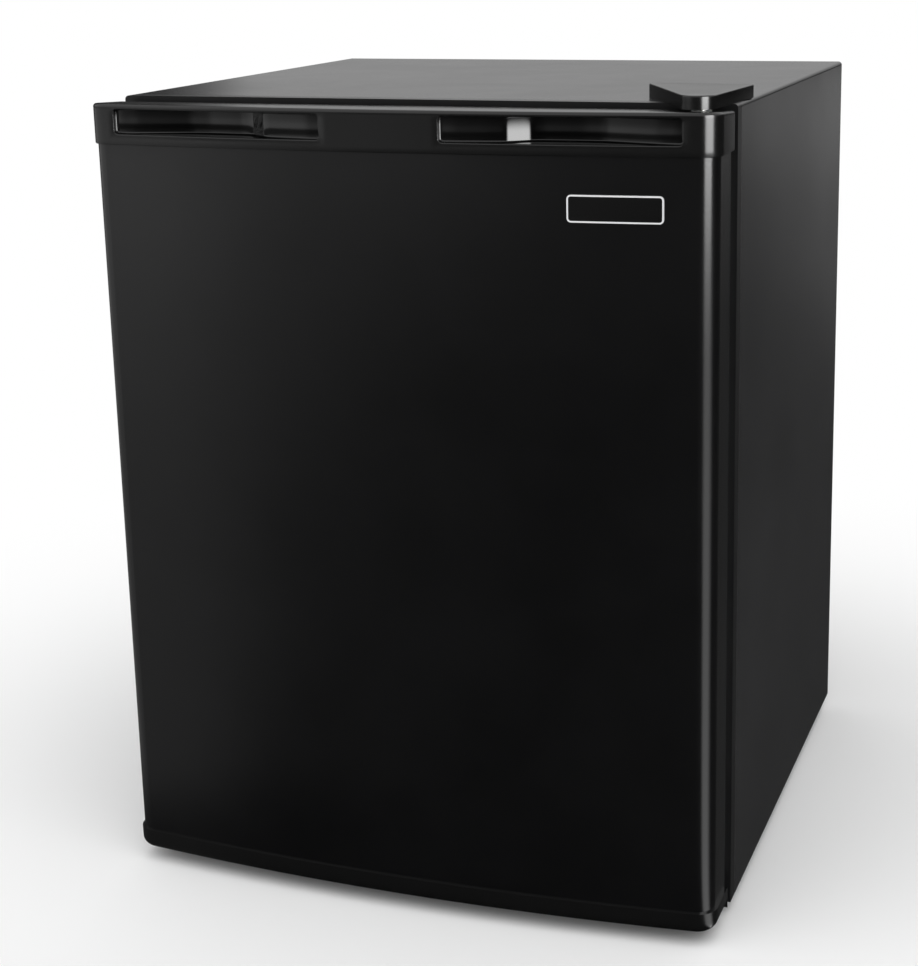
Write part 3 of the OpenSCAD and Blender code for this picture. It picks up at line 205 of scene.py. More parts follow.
def grey(value, tint=0.0):
    """A grey with its blue raised by tint."""
    return (value, value, value * (1 + tint))


def painted(name, tone, low, high, peel=2.2e-5):
    """Sprayed or roller-coated steel: even colour, slight orange peel, faint hand marks."""
    f = Finish(name)
    f.colour(f.noise(14.0, detail=4.0), (0.35, grey(tone * 0.86, 0.06)), (0.65, grey(tone * 1.12, 0.06)))
    f.rough(f.noise(9.0, detail=5.0, rough=0.6, warp=0.4), low, high)
    f.bump(f.noise(420.0, detail=2.0), peel)
    f.bump(f.noise(2600.0, detail=1.0), peel * 0.25)
    return f.material


def moulded(name, tone, low, high, grain, sss=0.0):
    """Injection-moulded or vacuum-formed plastic with a fine spark-eroded grain."""
    colour = tone if isinstance(tone, tuple) else grey(tone)
    f = Finish(name, Subsurface_Weight=sss, Subsurface_Scale=0.002)
    f.colour(f.noise(6.0, detail=2.0), (0.3, tuple(c * 0.98 for c in colour)), (0.7, colour))
    f.rough(f.noise(12.0, detail=3.0), low, high)
    f.bump(f.noise(1500.0, detail=1.0), grain)
    return f.material


def metal(name, tone, low, high, brush=None, spangle=0.0):
    """Bare metal; brush stretches the noise along one axis, spangle adds zinc crystals."""
    f = Finish(name, Metallic=1.0)
    if spangle:
        flakes = f.cells((spangle, spangle, spangle))
        f.colour(flakes, (0.1, tuple(c * 0.8 for c in tone)), (0.9, tone))
        f.rough(flakes, low, high, 0.0, 1.0)
        f.bump(f.noise(240.0, detail=3.0), METAL_RELIEF)
    else:
        lines = f.noise(brush or 320.0, detail=3.0)
        f.colour(f.noise(40.0, detail=4.0), (0.3, tuple(c * 0.82 for c in tone)), (0.7, tone))
        f.rough(lines, low, high)
        f.bump(lines, METAL_RELIEF)
    return f.material


def clear(name, tint, low, high):
    """Clear plastic with handling marks."""
    f = Finish(name, Transmission_Weight=0.92, IOR=1.49)
    f.colour(f.noise(18.0, detail=2.0), (0.3, tuple(c * 0.97 for c in tint)), (0.7, tint))
    f.rough(f.noise(26.0, detail=4.0), low, high)
    f.bump(f.noise(300.0, detail=2.0), 1.0e-5)
    return f.material


def rubber(name, tone):
    f = Finish(name, Specular_IOR_Level=0.35, Sheen_Weight=0.15, Sheen_Roughness=0.6)
    f.colour(f.noise(60.0, detail=4.0), (0.3, grey(tone * 0.8)), (0.7, grey(tone * 1.25)))
    f.rough(f.noise(90.0, detail=4.0), 0.55, 0.8)
    f.bump(f.noise(1500.0, detail=3.0), 3e-5)
    return f.material


def foam(name):
    f = Finish(name)
    f.colour(f.cells(700.0, output="Distance"), (0.0, (0.62, 0.50, 0.22)), (0.6, (0.86, 0.76, 0.45)))
    f.rough(f.noise(100.0), 0.8, 0.95)
    f.bump(f.cells(900.0, output="Distance"), 4e-4)
    return f.material


def copper(name):
    f = Finish(name, Metallic=1.0)
    stains = f.noise(70.0, detail=5.0, rough=0.65, warp=0.6)
    f.colour(stains, (0.30, (0.30, 0.11, 0.05)), (0.5, (0.72, 0.33, 0.17)), (0.72, (0.88, 0.48, 0.29)))
    f.rough(f.noise(120.0, detail=4.0), 0.24, 0.46)
    f.bump(f.noise(700.0, detail=3.0), 2e-5)
    return f.material


# after each name: the tone, the lowest and the highest roughness, and the relief of its grain or peel
FINISHES = (
    # the body paint's tone is raised well above the door's so that the cabinet's sides and top render
    # lighter: painted light
    painted("painted_steel_body", 0.0150, 0.15, 0.20),
    painted("painted_steel_door", 0.0036, 0.17, 0.22),
    painted("frame_paint", 0.0070, 0.26, 0.34),
    metal("galvanised_steel", (0.60, 0.62, 0.63), 0.30, 0.52, spangle=95.0),
    metal("zinc_hinge", (0.66, 0.66, 0.64), 0.24, 0.38, brush=(60.0, 900.0, 900.0)),
    metal("screw_steel", (0.62, 0.62, 0.63), 0.22, 0.36),
    foam("foam"),
    moulded("white_liner", (0.80, 0.80, 0.79), 0.20, 0.26, 0.4e-5, sss=0.05),
    moulded("coated_wire", (0.82, 0.82, 0.81), 0.14, 0.22, 0.6e-5),
    metal("evaporator_aluminium", (0.80, 0.81, 0.82), 0.26, 0.42, brush=(900.0, 40.0, 900.0)),
    moulded("white_plastic", (0.78, 0.78, 0.77), 0.24, 0.34, 0.8e-5, sss=0.05),
    clear("clear_plastic", (0.90, 0.945, 0.96), 0.04, 0.10),
    copper("copper"),
    moulded("black_cap_plastic", 0.0050, 0.16, 0.24, 0.8e-5),
    moulded("black_gloss_plastic", 0.0035, 0.05, 0.09, 0.3e-5),
    rubber("gasket_vinyl", 0.030),
    moulded("badge_black", 0.0035, 0.12, 0.2, 0.4e-5),
    moulded("badge_silver", (0.74, 0.74, 0.75), 0.22, 0.32, 0.6e-5),
    painted("condenser_paint", 0.012, 0.34, 0.50, 6e-5),
    painted("compressor_paint", 0.010, 0.18, 0.34, 5e-5),
    moulded("black_plastic", 0.014, 0.42, 0.56, 2.4e-5),
    rubber("black_rubber", 0.016),
)
# a new material's name gets a number after a dot where the frame has one of that name
MATERIALS = {m.name.split(".")[0]: m for m in FINISHES}


def dress_frame():
    """Every CAD node gets the material of its record slot."""
    for o in NODES.values():
        for s in o.material_slots:
            s.material = MATERIALS[s.material.name]


# ---- mesh helpers ----
def new_object(name, verts, faces, material):
    mesh = bpy.data.meshes.new(name)
    mesh.from_pydata(verts, [], faces)
    mesh.materials.append(material)
    o = bpy.data.objects.new(name, mesh)
    bpy.context.scene.collection.objects.link(o)
    return o


def add_piece(name, shape, body, slot, replaces, smooth):
    """A new mesh on a body, standing for the CAD nodes in replaces; edges over smooth degrees stay sharp."""
    piece = new_object(name, shape.verts, shape.faces, MATERIALS[slot])
    piece.data.validate()
    for p in piece.data.polygons:
        p.use_smooth = True
    piece.data.set_sharp_from_angle(angle=math.radians(smooth))
    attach(piece, body)
    if replaces:
        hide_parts(*replaces)


class Shape:
    """Collects vertices and faces; vertices at the same place are shared."""

    def __init__(self):
        self.verts, self.faces, self.seen = [], [], {}

    def at(self, p):
        key = tuple(round(c * 1e6) for c in p)
        if key not in self.seen:
            self.seen[key] = len(self.verts)
            self.verts.append(tuple(p))
        return self.seen[key]

    def face(self, *points):
        loop = []
        for p in points:
            i = self.at(p)
            if i not in loop:
                loop.append(i)
        if len(loop) > 2:
            self.faces.append(loop)

    def strip(self, a, b, closed=False):
        """Quads between two rows of points."""
        n = len(a)
        for i in range(n if closed else n - 1):
            k = (i + 1) % n
            self.face(a[i], a[k], b[k], b[i])

    def rows(self, rows, closed=False):
        for a, b in zip(rows, rows[1:]):
            self.strip(a, b, closed)

    def fan(self, ring, centre):
        for i in range(len(ring)):
            self.face(ring[i], ring[(i + 1) % len(ring)], centre)


def spaced(a, b, step):
    """Values from a to b, at most step apart."""
    n = max(1, math.ceil(abs(b - a) / step))
    return [a + (b - a) * i / n for i in range(n + 1)]


def unique(values):
    out = []
    for v in sorted(values):
        if not out or v - out[-1] > 1e-6:
            out.append(v)
    return out


def quarter(steps):
    """How far in and how far up each step of a quarter round goes, as shares of its radius."""
    turns = [math.pi / 2 * i / steps for i in range(steps + 1)]
    return [(1 - math.cos(a), math.sin(a)) for a in turns]


def lifted(points, z):
    return [Vector((p.x, p.y, z)) for p in points]


def mirror_x(shape):
    """Adds the mirror image in x of all that was drawn so far."""
    for f in list(shape.faces):
        points = [shape.verts[i] for i in f]
        shape.face(*[(-p[0], p[1], p[2]) for p in reversed(points)])


# ---- door outline: the bow, its corner arcs and the sides ----
BLEND = math.asin((HALF_W - DOOR_R) / (BOW_R - DOOR_R))
BOW_X = BOW_R * math.sin(BLEND)
CORNER_Y = BOW_Y - (BOW_R - DOOR_R) * math.cos(BLEND)
FALL_Y = CORNER_Y - DOOR_R + FALL_FROM


def bow_point(x, inset=0.0):
    """Point on the bow at x, moved in by inset, with its outward normal."""
    a = math.asin(x / BOW_R)
    n = Vector((math.sin(a), -math.cos(a), 0))
    return Vector((x, BOW_Y - BOW_R * math.cos(a), 0)) - n * inset, n


def corner_point(a, inset):
    """Point on the right corner's arc, where a is 0 at the front and a quarter turn at the side."""
    n = Vector((math.sin(a), -math.cos(a), 0))
    return Vector((HALF_W - DOOR_R, CORNER_Y, 0)) + n * (DOOR_R - inset)


def outline(front_x, back, inset):
    """Door outline from the left rear, round the front, to the right rear."""
    arcs = 14
    right = [corner_point(BLEND + (math.pi / 2 - BLEND) * i / arcs, inset) for i in range(1, arcs + 1)]
    right.append(Vector((HALF_W - inset, back, 0)))
    left = [Vector((-p.x, p.y, 0)) for p in reversed(right)]
    return left + [bow_point(x, inset)[0] for x in front_x] + right


def rounded_edge(front_x, back, radius, z, way, steps):
    """Rows of the door's outline round an edge that starts upright at z and turns in, up (1) or down (-1)."""
    return [lifted(outline(front_x, back, radius * inward), z + way * radius * rise)
            for inward, rise in quarter(steps)]


# ---- finger pockets ----
POCKET_X = (GRIP_BRIDGE / 2, CUPS[1].x - CUP_T)
POCKET_Z = (CUPS[0].z + CUP_T, CUPS[0].z + CUP_T + GRIP_H)
LIP = 0.0009
LIP_ENDS = 0.3
CELL_MARGIN = 0.006
CELL_X = (POCKET_X[0] - CELL_MARGIN, POCKET_X[1] + CELL_MARGIN)
CELL_Z = (CAP[0].z + CAP_FOOT_R, CAP[1].z - CAP_EDGE)
SIDE_STEP, OUTER_STEP, TOE_STEP = 0.0018, 0.003, 0.006
SIDE_PARTS = max(2, math.ceil((POCKET_X[1] - POCKET_X[0]) / SIDE_STEP))
END_PARTS = 4
ARC_STEPS = 6


def pocket_ring(grow):
    """Rounded rectangle of the right pocket in x and z, grown by grow, anticlockwise from the lower right."""
    r = max(GRIP_R + grow, 1e-5)
    x0, x1 = POCKET_X[0] - grow + r, POCKET_X[1] + grow - r
    z0, z1 = POCKET_Z[0] - grow + r, POCKET_Z[1] + grow - r
    # centre of each corner's arc, the arc's first angle, and the parts of the straight side after it
    corners = ((x1, z0, -90, END_PARTS), (x1, z1, 0, SIDE_PARTS),
               (x0, z1, 90, END_PARTS), (x0, z0, 180, SIDE_PARTS))
    points = []
    for k, (cx, cz, start, parts) in enumerate(corners):
        for i in range(ARC_STEPS + 1):
            a = math.radians(start + 90 * i / ARC_STEPS)
            points.append((cx + r * math.cos(a), cz + r * math.sin(a)))
        x, z = points[-1]
        next_x, next_z = corners[(k + 1) % 4][:2]
        for i in range(1, parts):
            points.append((x + (next_x - cx) * i / parts, z + (next_z - cz) * i / parts))
    return points


def lip_ring(grow):
    """The pocket's outline grown for its lip, which is narrower at the two ends."""
    return [(x0 + (x1 - x0) * LIP_ENDS, z) for (x0, _), (x1, z) in zip(pocket_ring(0.0), pocket_ring(grow))]


def cell_ring(hole):
    """Points on the cell's edge that belong to the ring's points."""
    (x0, x1), (z0, z1) = CELL_X, CELL_Z
    mid = ((x0 + x1) / 2, (z0 + z1) / 2)
    inner_x = (POCKET_X[0] + GRIP_R, POCKET_X[1] - GRIP_R)
    inner_z = (POCKET_Z[0] + GRIP_R, POCKET_Z[1] - GRIP_R)
    out = []
    for x, z in hole:
        over_x = inner_x[0] + 1e-7 < x < inner_x[1] - 1e-7
        over_z = inner_z[0] + 1e-7 < z < inner_z[1] - 1e-7
        ex, ez = (x0 if x < mid[0] else x1), (z0 if z < mid[1] else z1)
        if over_x:
            out.append((x, ez))
        elif over_z:
            out.append((ex, z))
        else:
            cx = inner_x[0] if x < mid[0] else inner_x[1]
            cz = inner_z[0] if z < mid[1] else inner_z[1]
            a = math.atan2(abs(z - cz), abs(x - cx)) / (math.pi / 2)
            if a <= 0.5:
                out.append((ex, cz + (ez - cz) * a * 2))
            else:
                out.append((cx + (ex - cx) * (1 - a) * 2, ez))
    return out


def on_front(x, z, depth=0.0):
    """Point of the bowed front at x and z, moved in by depth."""
    p, n = bow_point(x)
    return (p.x - n.x * depth, p.y - n.y * depth, z)


def draw_pocket_cells(s, edge):
    """The front round each pocket: a ring from the cell's edge to the lip, and the lip turned inward."""
    s.strip([on_front(*p) for p in edge], [on_front(*p) for p in lip_ring(LIP)], closed=True)
    lips = [[on_front(x, z, LIP * inward) for x, z in lip_ring(LIP * (1 - rise))]
            for inward, rise in quarter(6)]
    s.rows(lips, closed=True)
    mirror_x(s)


def build_top_cap():
    """The cap over the door's top edge, with a rounded lip round each pocket."""
    s = Shape()
    edge = cell_ring(pocket_ring(0.0))
    draw_pocket_cells(s, edge)
    cell_x = unique([x for x, z in edge if abs(z - CELL_Z[1]) < 1e-7])
    cell_z = unique([z for x, z in edge if abs(x - CELL_X[1]) < 1e-7])
    # plain strips beside the cells, then the corners and sides
    outer_x = unique(spaced(CELL_X[1], BOW_X, OUTER_STEP))
    inner_x = unique(spaced(-CELL_X[0], CELL_X[0], SIDE_STEP))
    for xs in (inner_x, outer_x, [-x for x in reversed(outer_x)]):
        s.rows([[on_front(x, z) for x in xs] for z in cell_z])
    front_x = unique([-x for x in cell_x + outer_x] + inner_x + cell_x + outer_x)
    back = CAP[1].y
    rim = outline(front_x, back, 0.0)
    start = rim.index(bow_point(front_x[0])[0])
    for part in (rim[: start + 1], rim[start + len(front_x) - 1 :]):
        s.rows([lifted(part, z) for z in cell_z])
    # rounded top edge, top face, rounded foot, the ledge over the skin, and the back
    edges = rounded_edge(front_x, back, CAP_EDGE, CELL_Z[1], 1, 6)
    s.rows(edges)
    top = edges[-1]
    s.strip(top, [Vector((p.x, back, p.z)) for p in top])
    foot = rounded_edge(front_x, back, CAP_FOOT_R, CELL_Z[0], -1, 4)
    s.rows(list(reversed(foot)))
    s.strip(lifted(outline(front_x, back, CAP_LIP + LEDGE_IN), CAP[0].z), foot[-1])
    rear_x = unique([p.x for p in top])
    s.rows([[Vector((x, back, z)) for x in rear_x] for z in (CAP[1].z, CAP[0].z)])
    # the top falls towards the rear, so that water runs off
    for i, (x, y, z) in enumerate(s.verts):
        t = max(0.0, (y - FALL_Y) / (back - FALL_Y)) * (z - CAP[0].z) / (CAP[1].z - CAP[0].z)
        s.verts[i] = (x, y, z - CAP_FALL * t)
    add_piece("top_cap_shell", s, "door", "black_cap_plastic", ("door_top_cap",), 50.0)


# depth of the hollow along the right pocket, from the bridge to the outer end
SCOOP = ((0.0, 0.0035), (0.06, 0.0036), (0.20, 0.0058), (0.27, 0.0075), (0.36, 0.0180), (0.40, 0.0192),
         (0.58, 0.0192), (0.66, 0.0180), (0.90, 0.0062), (0.97, 0.0042), (1.0, 0.0040))
SCOOP_EASE = 0.018
SCOOP_FILLET = 0.0016


def scoop_depth(x):
    """Depth at x: the listed profile, averaged over nine places within SCOOP_EASE of the pocket's length."""
    u = (x - POCKET_X[0]) / (POCKET_X[1] - POCKET_X[0])
    total = 0.0
    for k in range(-4, 5):
        v = min(max(u + SCOOP_EASE * k / 4, 0.0), 1.0)
        for (u0, d0), (u1, d1) in zip(SCOOP, SCOOP[1:]):
            if v <= u1:
                total += d0 + (d1 - d0) * (v - u0) / (u1 - u0)
                break
    return total / 9


def build_scoops():
    """Glossy hollows behind the pocket mouths, shallow at each end and deep with a flat floor between."""
    s = Shape()
    # inset and rise as shares of the fillet: the mouth, the foot of the wall, and the fillet's steps
    steps = [(0.0, 0.0)] + quarter(5)
    rings = []
    for k, (inset, rise) in enumerate(steps):
        ring = []
        for x, z in pocket_ring(-inset * SCOOP_FILLET):
            depth = scoop_depth(x) - SCOOP_FILLET * (1 - rise) if k else LIP
            ring.append((x, bow_point(x)[0].y + depth, z))
        rings.append(ring)
    s.rows(rings, closed=True)
    # the back wall is ruled upright between the fillets
    columns = {}
    for p in rings[-1]:
        columns.setdefault(round(p[0] * 1e6), []).append(p)
    columns = [sorted(columns[x], key=lambda p: p[2]) for x in sorted(columns)]
    s.strip([c[0] for c in columns], [c[-1] for c in columns])
    mirror_x(s)
    add_piece("grip_scoops", s, "door", "black_gloss_plastic", ("grip_cups",), 60.0)


# ---- hinge cover and lower cap ----
def wrapped(circles, grow=0.0, arc=10):
    """Outline that wraps circles (x, y, radius), each grown by grow, as points anticlockwise."""
    points = []
    n = len(circles)
    dirs = []
    for i, (x0, y0, r0) in enumerate(circles):
        x1, y1, r1 = circles[(i + 1) % n]
        gap = math.hypot(x1 - x0, y1 - y0)
        base = math.atan2(y1 - y0, x1 - x0)
        dirs.append(base - math.acos((r0 - r1) / gap))
    for i, (x, y, r) in enumerate(circles):
        a, b = dirs[i - 1], dirs[i]
        while b < a:
            b += 2 * math.pi
        for k in range(arc + 1):
            t = a + (b - a) * k / arc
            points.append(Vector((x + (r + grow) * math.cos(t), y + (r + grow) * math.sin(t), 0)))
    return points


def draw_domed_plate(s, circles, z0, z1, edge, crown):
    """A plate with upright sides, a rounded top edge and a slightly crowned top."""
    rows = [lifted(wrapped(circles), z0)]
    for inward, rise in quarter(6):
        rows.append(lifted(wrapped(circles, -edge * inward), z1 - crown - edge * (1 - rise)))
    top = rows[-1]
    centre = sum(top, Vector((0, 0, 0))) / len(top)
    for k in (0.7, 0.4):
        rows.append(lifted([centre + (p - centre) * k for p in top], z1 - crown * k * k))
    s.rows(rows, closed=True)
    s.fan(rows[-1], Vector((centre.x, centre.y, z1)))


def build_hinge_cover():
    """Moulded cover over the top hinge, tapering to a nose over the pin."""
    lo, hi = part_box("hinge_cover")
    corner_y = hi.y - COVER_CORNER
    circles = ((hi.x - COVER_NOSE_IN, lo.y + COVER_NOSE, COVER_NOSE),
               (hi.x - COVER_CORNER, corner_y, COVER_CORNER),
               (lo.x + COVER_LEFT_IN + COVER_CORNER, corner_y, COVER_CORNER))
    s = Shape()
    draw_domed_plate(s, circles, lo.z, hi.z, COVER_EDGE, COVER_CROWN)
    add_piece("hinge_cover_shell", s, "cabinet", "black_cap_plastic", ("hinge_cover",), 50.0)


def build_toe_cap():
    """The lower cap of the door with its large rounded edge."""
    s = Shape()
    front_x = unique(spaced(-BOW_X, BOW_X, TOE_STEP))
    back, z0, z1 = TOE[1].y, TOE[0].z, TOE[1].z
    rows = [lifted(outline(front_x, back, 0.0), z1)]
    rows += rounded_edge(front_x, back, TOE_EDGE, z0 + TOE_EDGE, -1, 10)
    s.rows([list(reversed(r)) for r in rows])
    foot = list(reversed(rows[-1]))
    s.strip(foot, [Vector((p.x, back, p.z)) for p in foot])
    s.strip(rows[0], lifted(outline(front_x, back, CAP_LIP + LEDGE_IN), z1))
    rear_x = unique([p.x for p in rows[0]])
    s.rows([[Vector((x, back, z)) for x in rear_x] for z in (z1, z0 + TOE_EDGE, z0)])
    add_piece("toe_cap_shell", s, "door", "black_cap_plastic", ("door_bottom_cap",), 50.0)


# ---- swept shapes ----
def rounded_path(points, bend, steps=7):
    """Points along a line whose corners are rounded to the radius bend where they have room."""
    pts = [Vector(p) for p in points]
    out = [pts[0]]
    for a, b, c in zip(pts, pts[1:], pts[2:]):
        u, v = (a - b).normalized(), (c - b).normalized()
        half = u.angle(v) / 2
        cut = min(bend / math.tan(half), (a - b).length / 2, (c - b).length / 2)
        r = cut * math.tan(half)
        centre = b + (u + v).normalized() * (r / math.sin(half))
        p0, p1 = b + u * cut - centre, b + v * cut - centre
        turn = math.pi - 2 * half
        for k in range(steps + 1):
            t = k / steps
            out.append(centre + (p0 * math.sin((1 - t) * turn) + p1 * math.sin(t * turn)) / math.sin(turn))
    out.append(pts[-1])
    return [p for i, p in enumerate(out) if i == 0 or (p - out[i - 1]).length > 1e-6]


def sweep(s, path, section, up=None):
    """Draws a section of (side, height) pairs along a path, with both ends closed."""
    normal = up or (path[1] - path[0]).orthogonal().normalized()
    rings = []
    for i, p in enumerate(path):
        ahead = (path[min(i + 1, len(path) - 1)] - path[max(i - 1, 0)]).normalized()
        if not up:
            normal = (normal - ahead * normal.dot(ahead)).normalized()
        side = ahead.cross(normal)
        rings.append([p + side * a + normal * b for a, b in section])
    s.rows(rings, closed=True)
    s.fan(list(reversed(rings[0])), path[0])
    s.fan(rings[-1], path[-1])


def round_section(radius, parts=12):
    turns = [2 * math.pi * i / parts for i in range(parts)]
    return [(radius * math.cos(a), radius * math.sin(a)) for a in turns]


def build_tube(name, points, radius, bend, slot, node):
    s = Shape()
    sweep(s, rounded_path(points, bend), round_section(radius))
    add_piece(name, s, "cabinet", slot, (node,), 60.0)


def middle(box):
    return (box[0] + box[1]) / 2


def build_serpentine(coil_y, riser):
    """The condenser's coil, from the filter drier up to the riser of the discharge pipe."""
    wires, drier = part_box("condenser_wires"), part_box("filter_drier")
    low, high = wires[0].z + WIRE_OVER, wires[1].z - WIRE_OVER
    pitch = (high - low) / (COIL_RUNS - 1)
    reach = HALF_W - COIL_SIDE
    x, y = middle(drier).xy
    neck_z = drier[1].z + DRIER_NECK
    path = [(x, y, drier[1].z), (x, y, neck_z), (x, coil_y, neck_z), (x, coil_y, low)]
    for i in range(COIL_RUNS):
        z = low + pitch * i
        side = 1 if i % 2 == 0 else -1
        if i:
            path.append((-side * reach, coil_y, z))
        path.append((side * (riser if i == COIL_RUNS - 1 else reach), coil_y, z))
    build_tube("serpentine", path, COIL_D / 2, pitch / 2, "condenser_paint", "condenser_coil")


def build_pipes():
    """The condenser serpentine and the copper pipes, with bent corners."""
    shell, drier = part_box("compressor_shell"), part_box("filter_drier")
    gas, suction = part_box("discharge_tube"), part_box("suction_tube")
    thin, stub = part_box("capillary_tube"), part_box("process_tube")
    mid_x, mid_y = middle(shell).xy

    r = COIL_D / 2
    coil_y = middle(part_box("condenser_wires")).y
    riser, z, x = gas[1].x - r, gas[0].z + r, gas[0].x + GAS_LOOP
    build_serpentine(coil_y, riser)
    path = [(gas[0].x, mid_y, z), (x, mid_y, z), (x, coil_y, z), (riser, coil_y, z),
            (riser, coil_y, gas[1].z)]
    build_tube("discharge_pipe", path, r, GAS_BEND, "copper", "discharge_tube")

    r = (suction[1].y - suction[0].y) / 2
    x, z = suction[0].x + r, suction[0].z + r
    path = [(suction[1].x, mid_y, z), (x, mid_y, z), (x, mid_y, suction[1].z)]
    build_tube("suction_pipe", path, r, PIPE_BEND, "copper", "suction_tube")

    drier_x, drier_y = middle(drier).xy
    r = drier_x - thin[0].x
    z, x = thin[0].z + r, drier_x + THIN_OUT
    bend_z, end_x = shell[0].z + THIN_RISE, thin[1].x - r
    path = [(drier_x, drier_y, drier[0].z), (drier_x, drier_y, z), (x, drier_y, z), (x, mid_y, z),
            (x, mid_y, bend_z), (end_x, mid_y, bend_z), (end_x, mid_y, thin[1].z)]
    build_tube("capillary_pipe", path, r, PIPE_BEND, "copper", "capillary_tube")

    r = (stub[1].x - stub[0].x) / 2
    y, z = stub[1].y - r, stub[0].z + r
    path = [(mid_x, stub[0].y, z), (mid_x, y, z), (mid_x, y, stub[1].z)]
    build_tube("process_pipe", path, r, STUB_BEND, "copper", "process_tube")


# cross-section of the door seal in millimetres: across its width, and from the door towards the cabinet
SEAL = ((1.0, 0.0), (0.2, 0.5), (0.0, 1.5), (0.7, 2.6), (1.9, 3.4), (1.9, 4.0), (0.8, 4.8), (0.15, 6.0),
        (0.3, 7.6), (1.1, 8.9), (2.4, 9.6), (5.0, 9.6), (5.8, 9.2), (9.2, 9.2), (10.0, 9.6), (12.6, 9.6),
        (13.9, 8.9), (14.7, 7.6), (14.85, 6.0), (14.2, 4.8), (13.1, 4.0), (13.1, 3.4), (14.3, 2.6),
        (15.0, 1.5), (14.8, 0.5), (14.0, 0.0))
SEAL_CORNER, SEAL_STEPS = 0.010, 8
MM = 0.001


def build_gasket():
    """The door seal with its folded flanks and the hollow over its magnet."""
    lo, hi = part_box("door_gasket")
    s = Shape()
    rings = []
    for across, proud in SEAL:
        u, y = across * MM, min(lo.y + proud * MM, hi.y)
        r = SEAL_CORNER - u / 3
        x0, x1, z0, z1 = lo.x + u + r, hi.x - u - r, lo.z + u + r, hi.z - u - r
        ring = []
        for x, z, start in ((x0, z0, 180), (x1, z0, 270), (x1, z1, 0), (x0, z1, 90)):
            for k in range(SEAL_STEPS + 1):
                a = math.radians(start + 90 * k / SEAL_STEPS)
                ring.append((x + r * math.cos(a), y, z + r * math.sin(a)))
        rings.append(ring)
    s.rows(rings + rings[:1], closed=True)
    add_piece("seal_profile", s, "door", "gasket_vinyl", ("door_gasket",), 50.0)


def draw_channel(s, place, length, width, up):
    """A winding raised line over a rectangle; place turns two lengths into a point, up leaves the sheet."""
    turns = [math.pi * i / 8 for i in range(9)]
    section = [(CHANNEL_HALF_W * math.cos(a), CHANNEL_H * math.sin(a) - CHANNEL_SUNK) for a in turns]
    count = int((width - 2 * CHANNEL_MARGIN) / CHANNEL_PITCH)
    first = (width - count * CHANNEL_PITCH) / 2
    run = (CHANNEL_MARGIN, length - CHANNEL_MARGIN)
    points = []
    for i in range(count + 1):
        ends = run if i % 2 == 0 else run[::-1]
        points += [place(t, first + i * CHANNEL_PITCH) for t in ends]
    sweep(s, rounded_path(points, CHANNEL_PITCH / 2, 6), section, Vector(up))


def build_channels():
    """Raised roll-bond channels on the floor, the walls and the underside of the freezer box."""
    lo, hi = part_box("evaporator_box")
    dx, dy, dz = hi - lo
    t = EVAP_T
    s = Shape()
    draw_channel(s, lambda a, b: (lo.x + a, lo.y + b, lo.z + t), dx, dy, (0, 0, 1))
    draw_channel(s, lambda a, b: (lo.x + a, lo.y + b, lo.z), dx, dy, (0, 0, -1))
    draw_channel(s, lambda a, b: (lo.x + t, lo.y + a, lo.z + b), dy, dz, (1, 0, 0))
    draw_channel(s, lambda a, b: (hi.x - t, lo.y + a, lo.z + b), dy, dz, (-1, 0, 0))
    draw_channel(s, lambda a, b: (lo.x, lo.y + a, lo.z + b), dy, dz, (-1, 0, 0))
    add_piece("roll_bond_channels", s, "cabinet", "evaporator_aluminium", (), 60.0)


# ---- thermostat knob ----
def draw_domed_bar(s, centre, along, up, length, width, height):
    """A small bar with rounded ends and a domed top, standing on a face."""
    side = along.cross(up)
    half = width / 2
    rim = []
    for sign, start in ((1, -90), (-1, 90)):
        for k in range(7):
            a = math.radians(start + 180 * k / 6)
            rim.append((sign * (length / 2 - half) + half * math.cos(a), half * math.sin(a)))
    rows = []
    for shrink, lift in ((1.0, 0.0), (1.0, 0.6), (0.85, 0.9), (0.5, 1.0)):
        less = half * (1 - shrink)
        raised = centre + up * (height * lift)
        rows.append([raised + along * (a - math.copysign(less, a)) + side * (b * shrink) for a, b in rim])
    s.rows(rows, closed=True)
    s.fan(rows[-1], centre + up * height)


def draw_knob(s, centre, radius):
    """The shaft, a skirt against the housing, a fluted grip and a slightly hollow front around centre."""
    grip, back = radius - GRIP_IN, SKIRT_END
    # radius, depth behind the front, and share of the flutes' depth
    profile = [(SHAFT_R, SHAFT_END, 0), (SHAFT_R, back, 0), (radius - 0.0006, back, 0),
               (radius, back - 0.0006, 0), (radius, back - 0.0024, 0), (radius - 0.0006, back - 0.0034, 0),
               (radius - 0.0018, back - 0.0038, 0), (grip + 0.0004, back - 0.0041, 0),
               (grip, back - 0.0050, 1), (grip - 0.0002, 0.0018, 1), (grip - 0.0006, 0.0008, 0.8),
               (grip - 0.0016, 0.0001, 0.3), (grip - 0.0030, 0.0, 0), (grip - 0.0045, 0.0007, 0),
               (0.004, 0.0011, 0), (0.0001, HOLLOW, 0)]
    parts = 6 * FLUTES
    rings = []
    for r, deep, flute in profile:
        ring = []
        for k in range(parts):
            a = 2 * math.pi * k / parts
            at = r - flute * FLUTE_DEPTH * max(0.0, math.cos(a * FLUTES)) ** 0.7
            ring.append(centre + Vector((at * math.cos(a), deep, at * math.sin(a))))
        rings.append(ring)
    s.rows(rings, closed=True)
    s.fan(rings[-1], centre + Vector((0, HOLLOW, 0)))


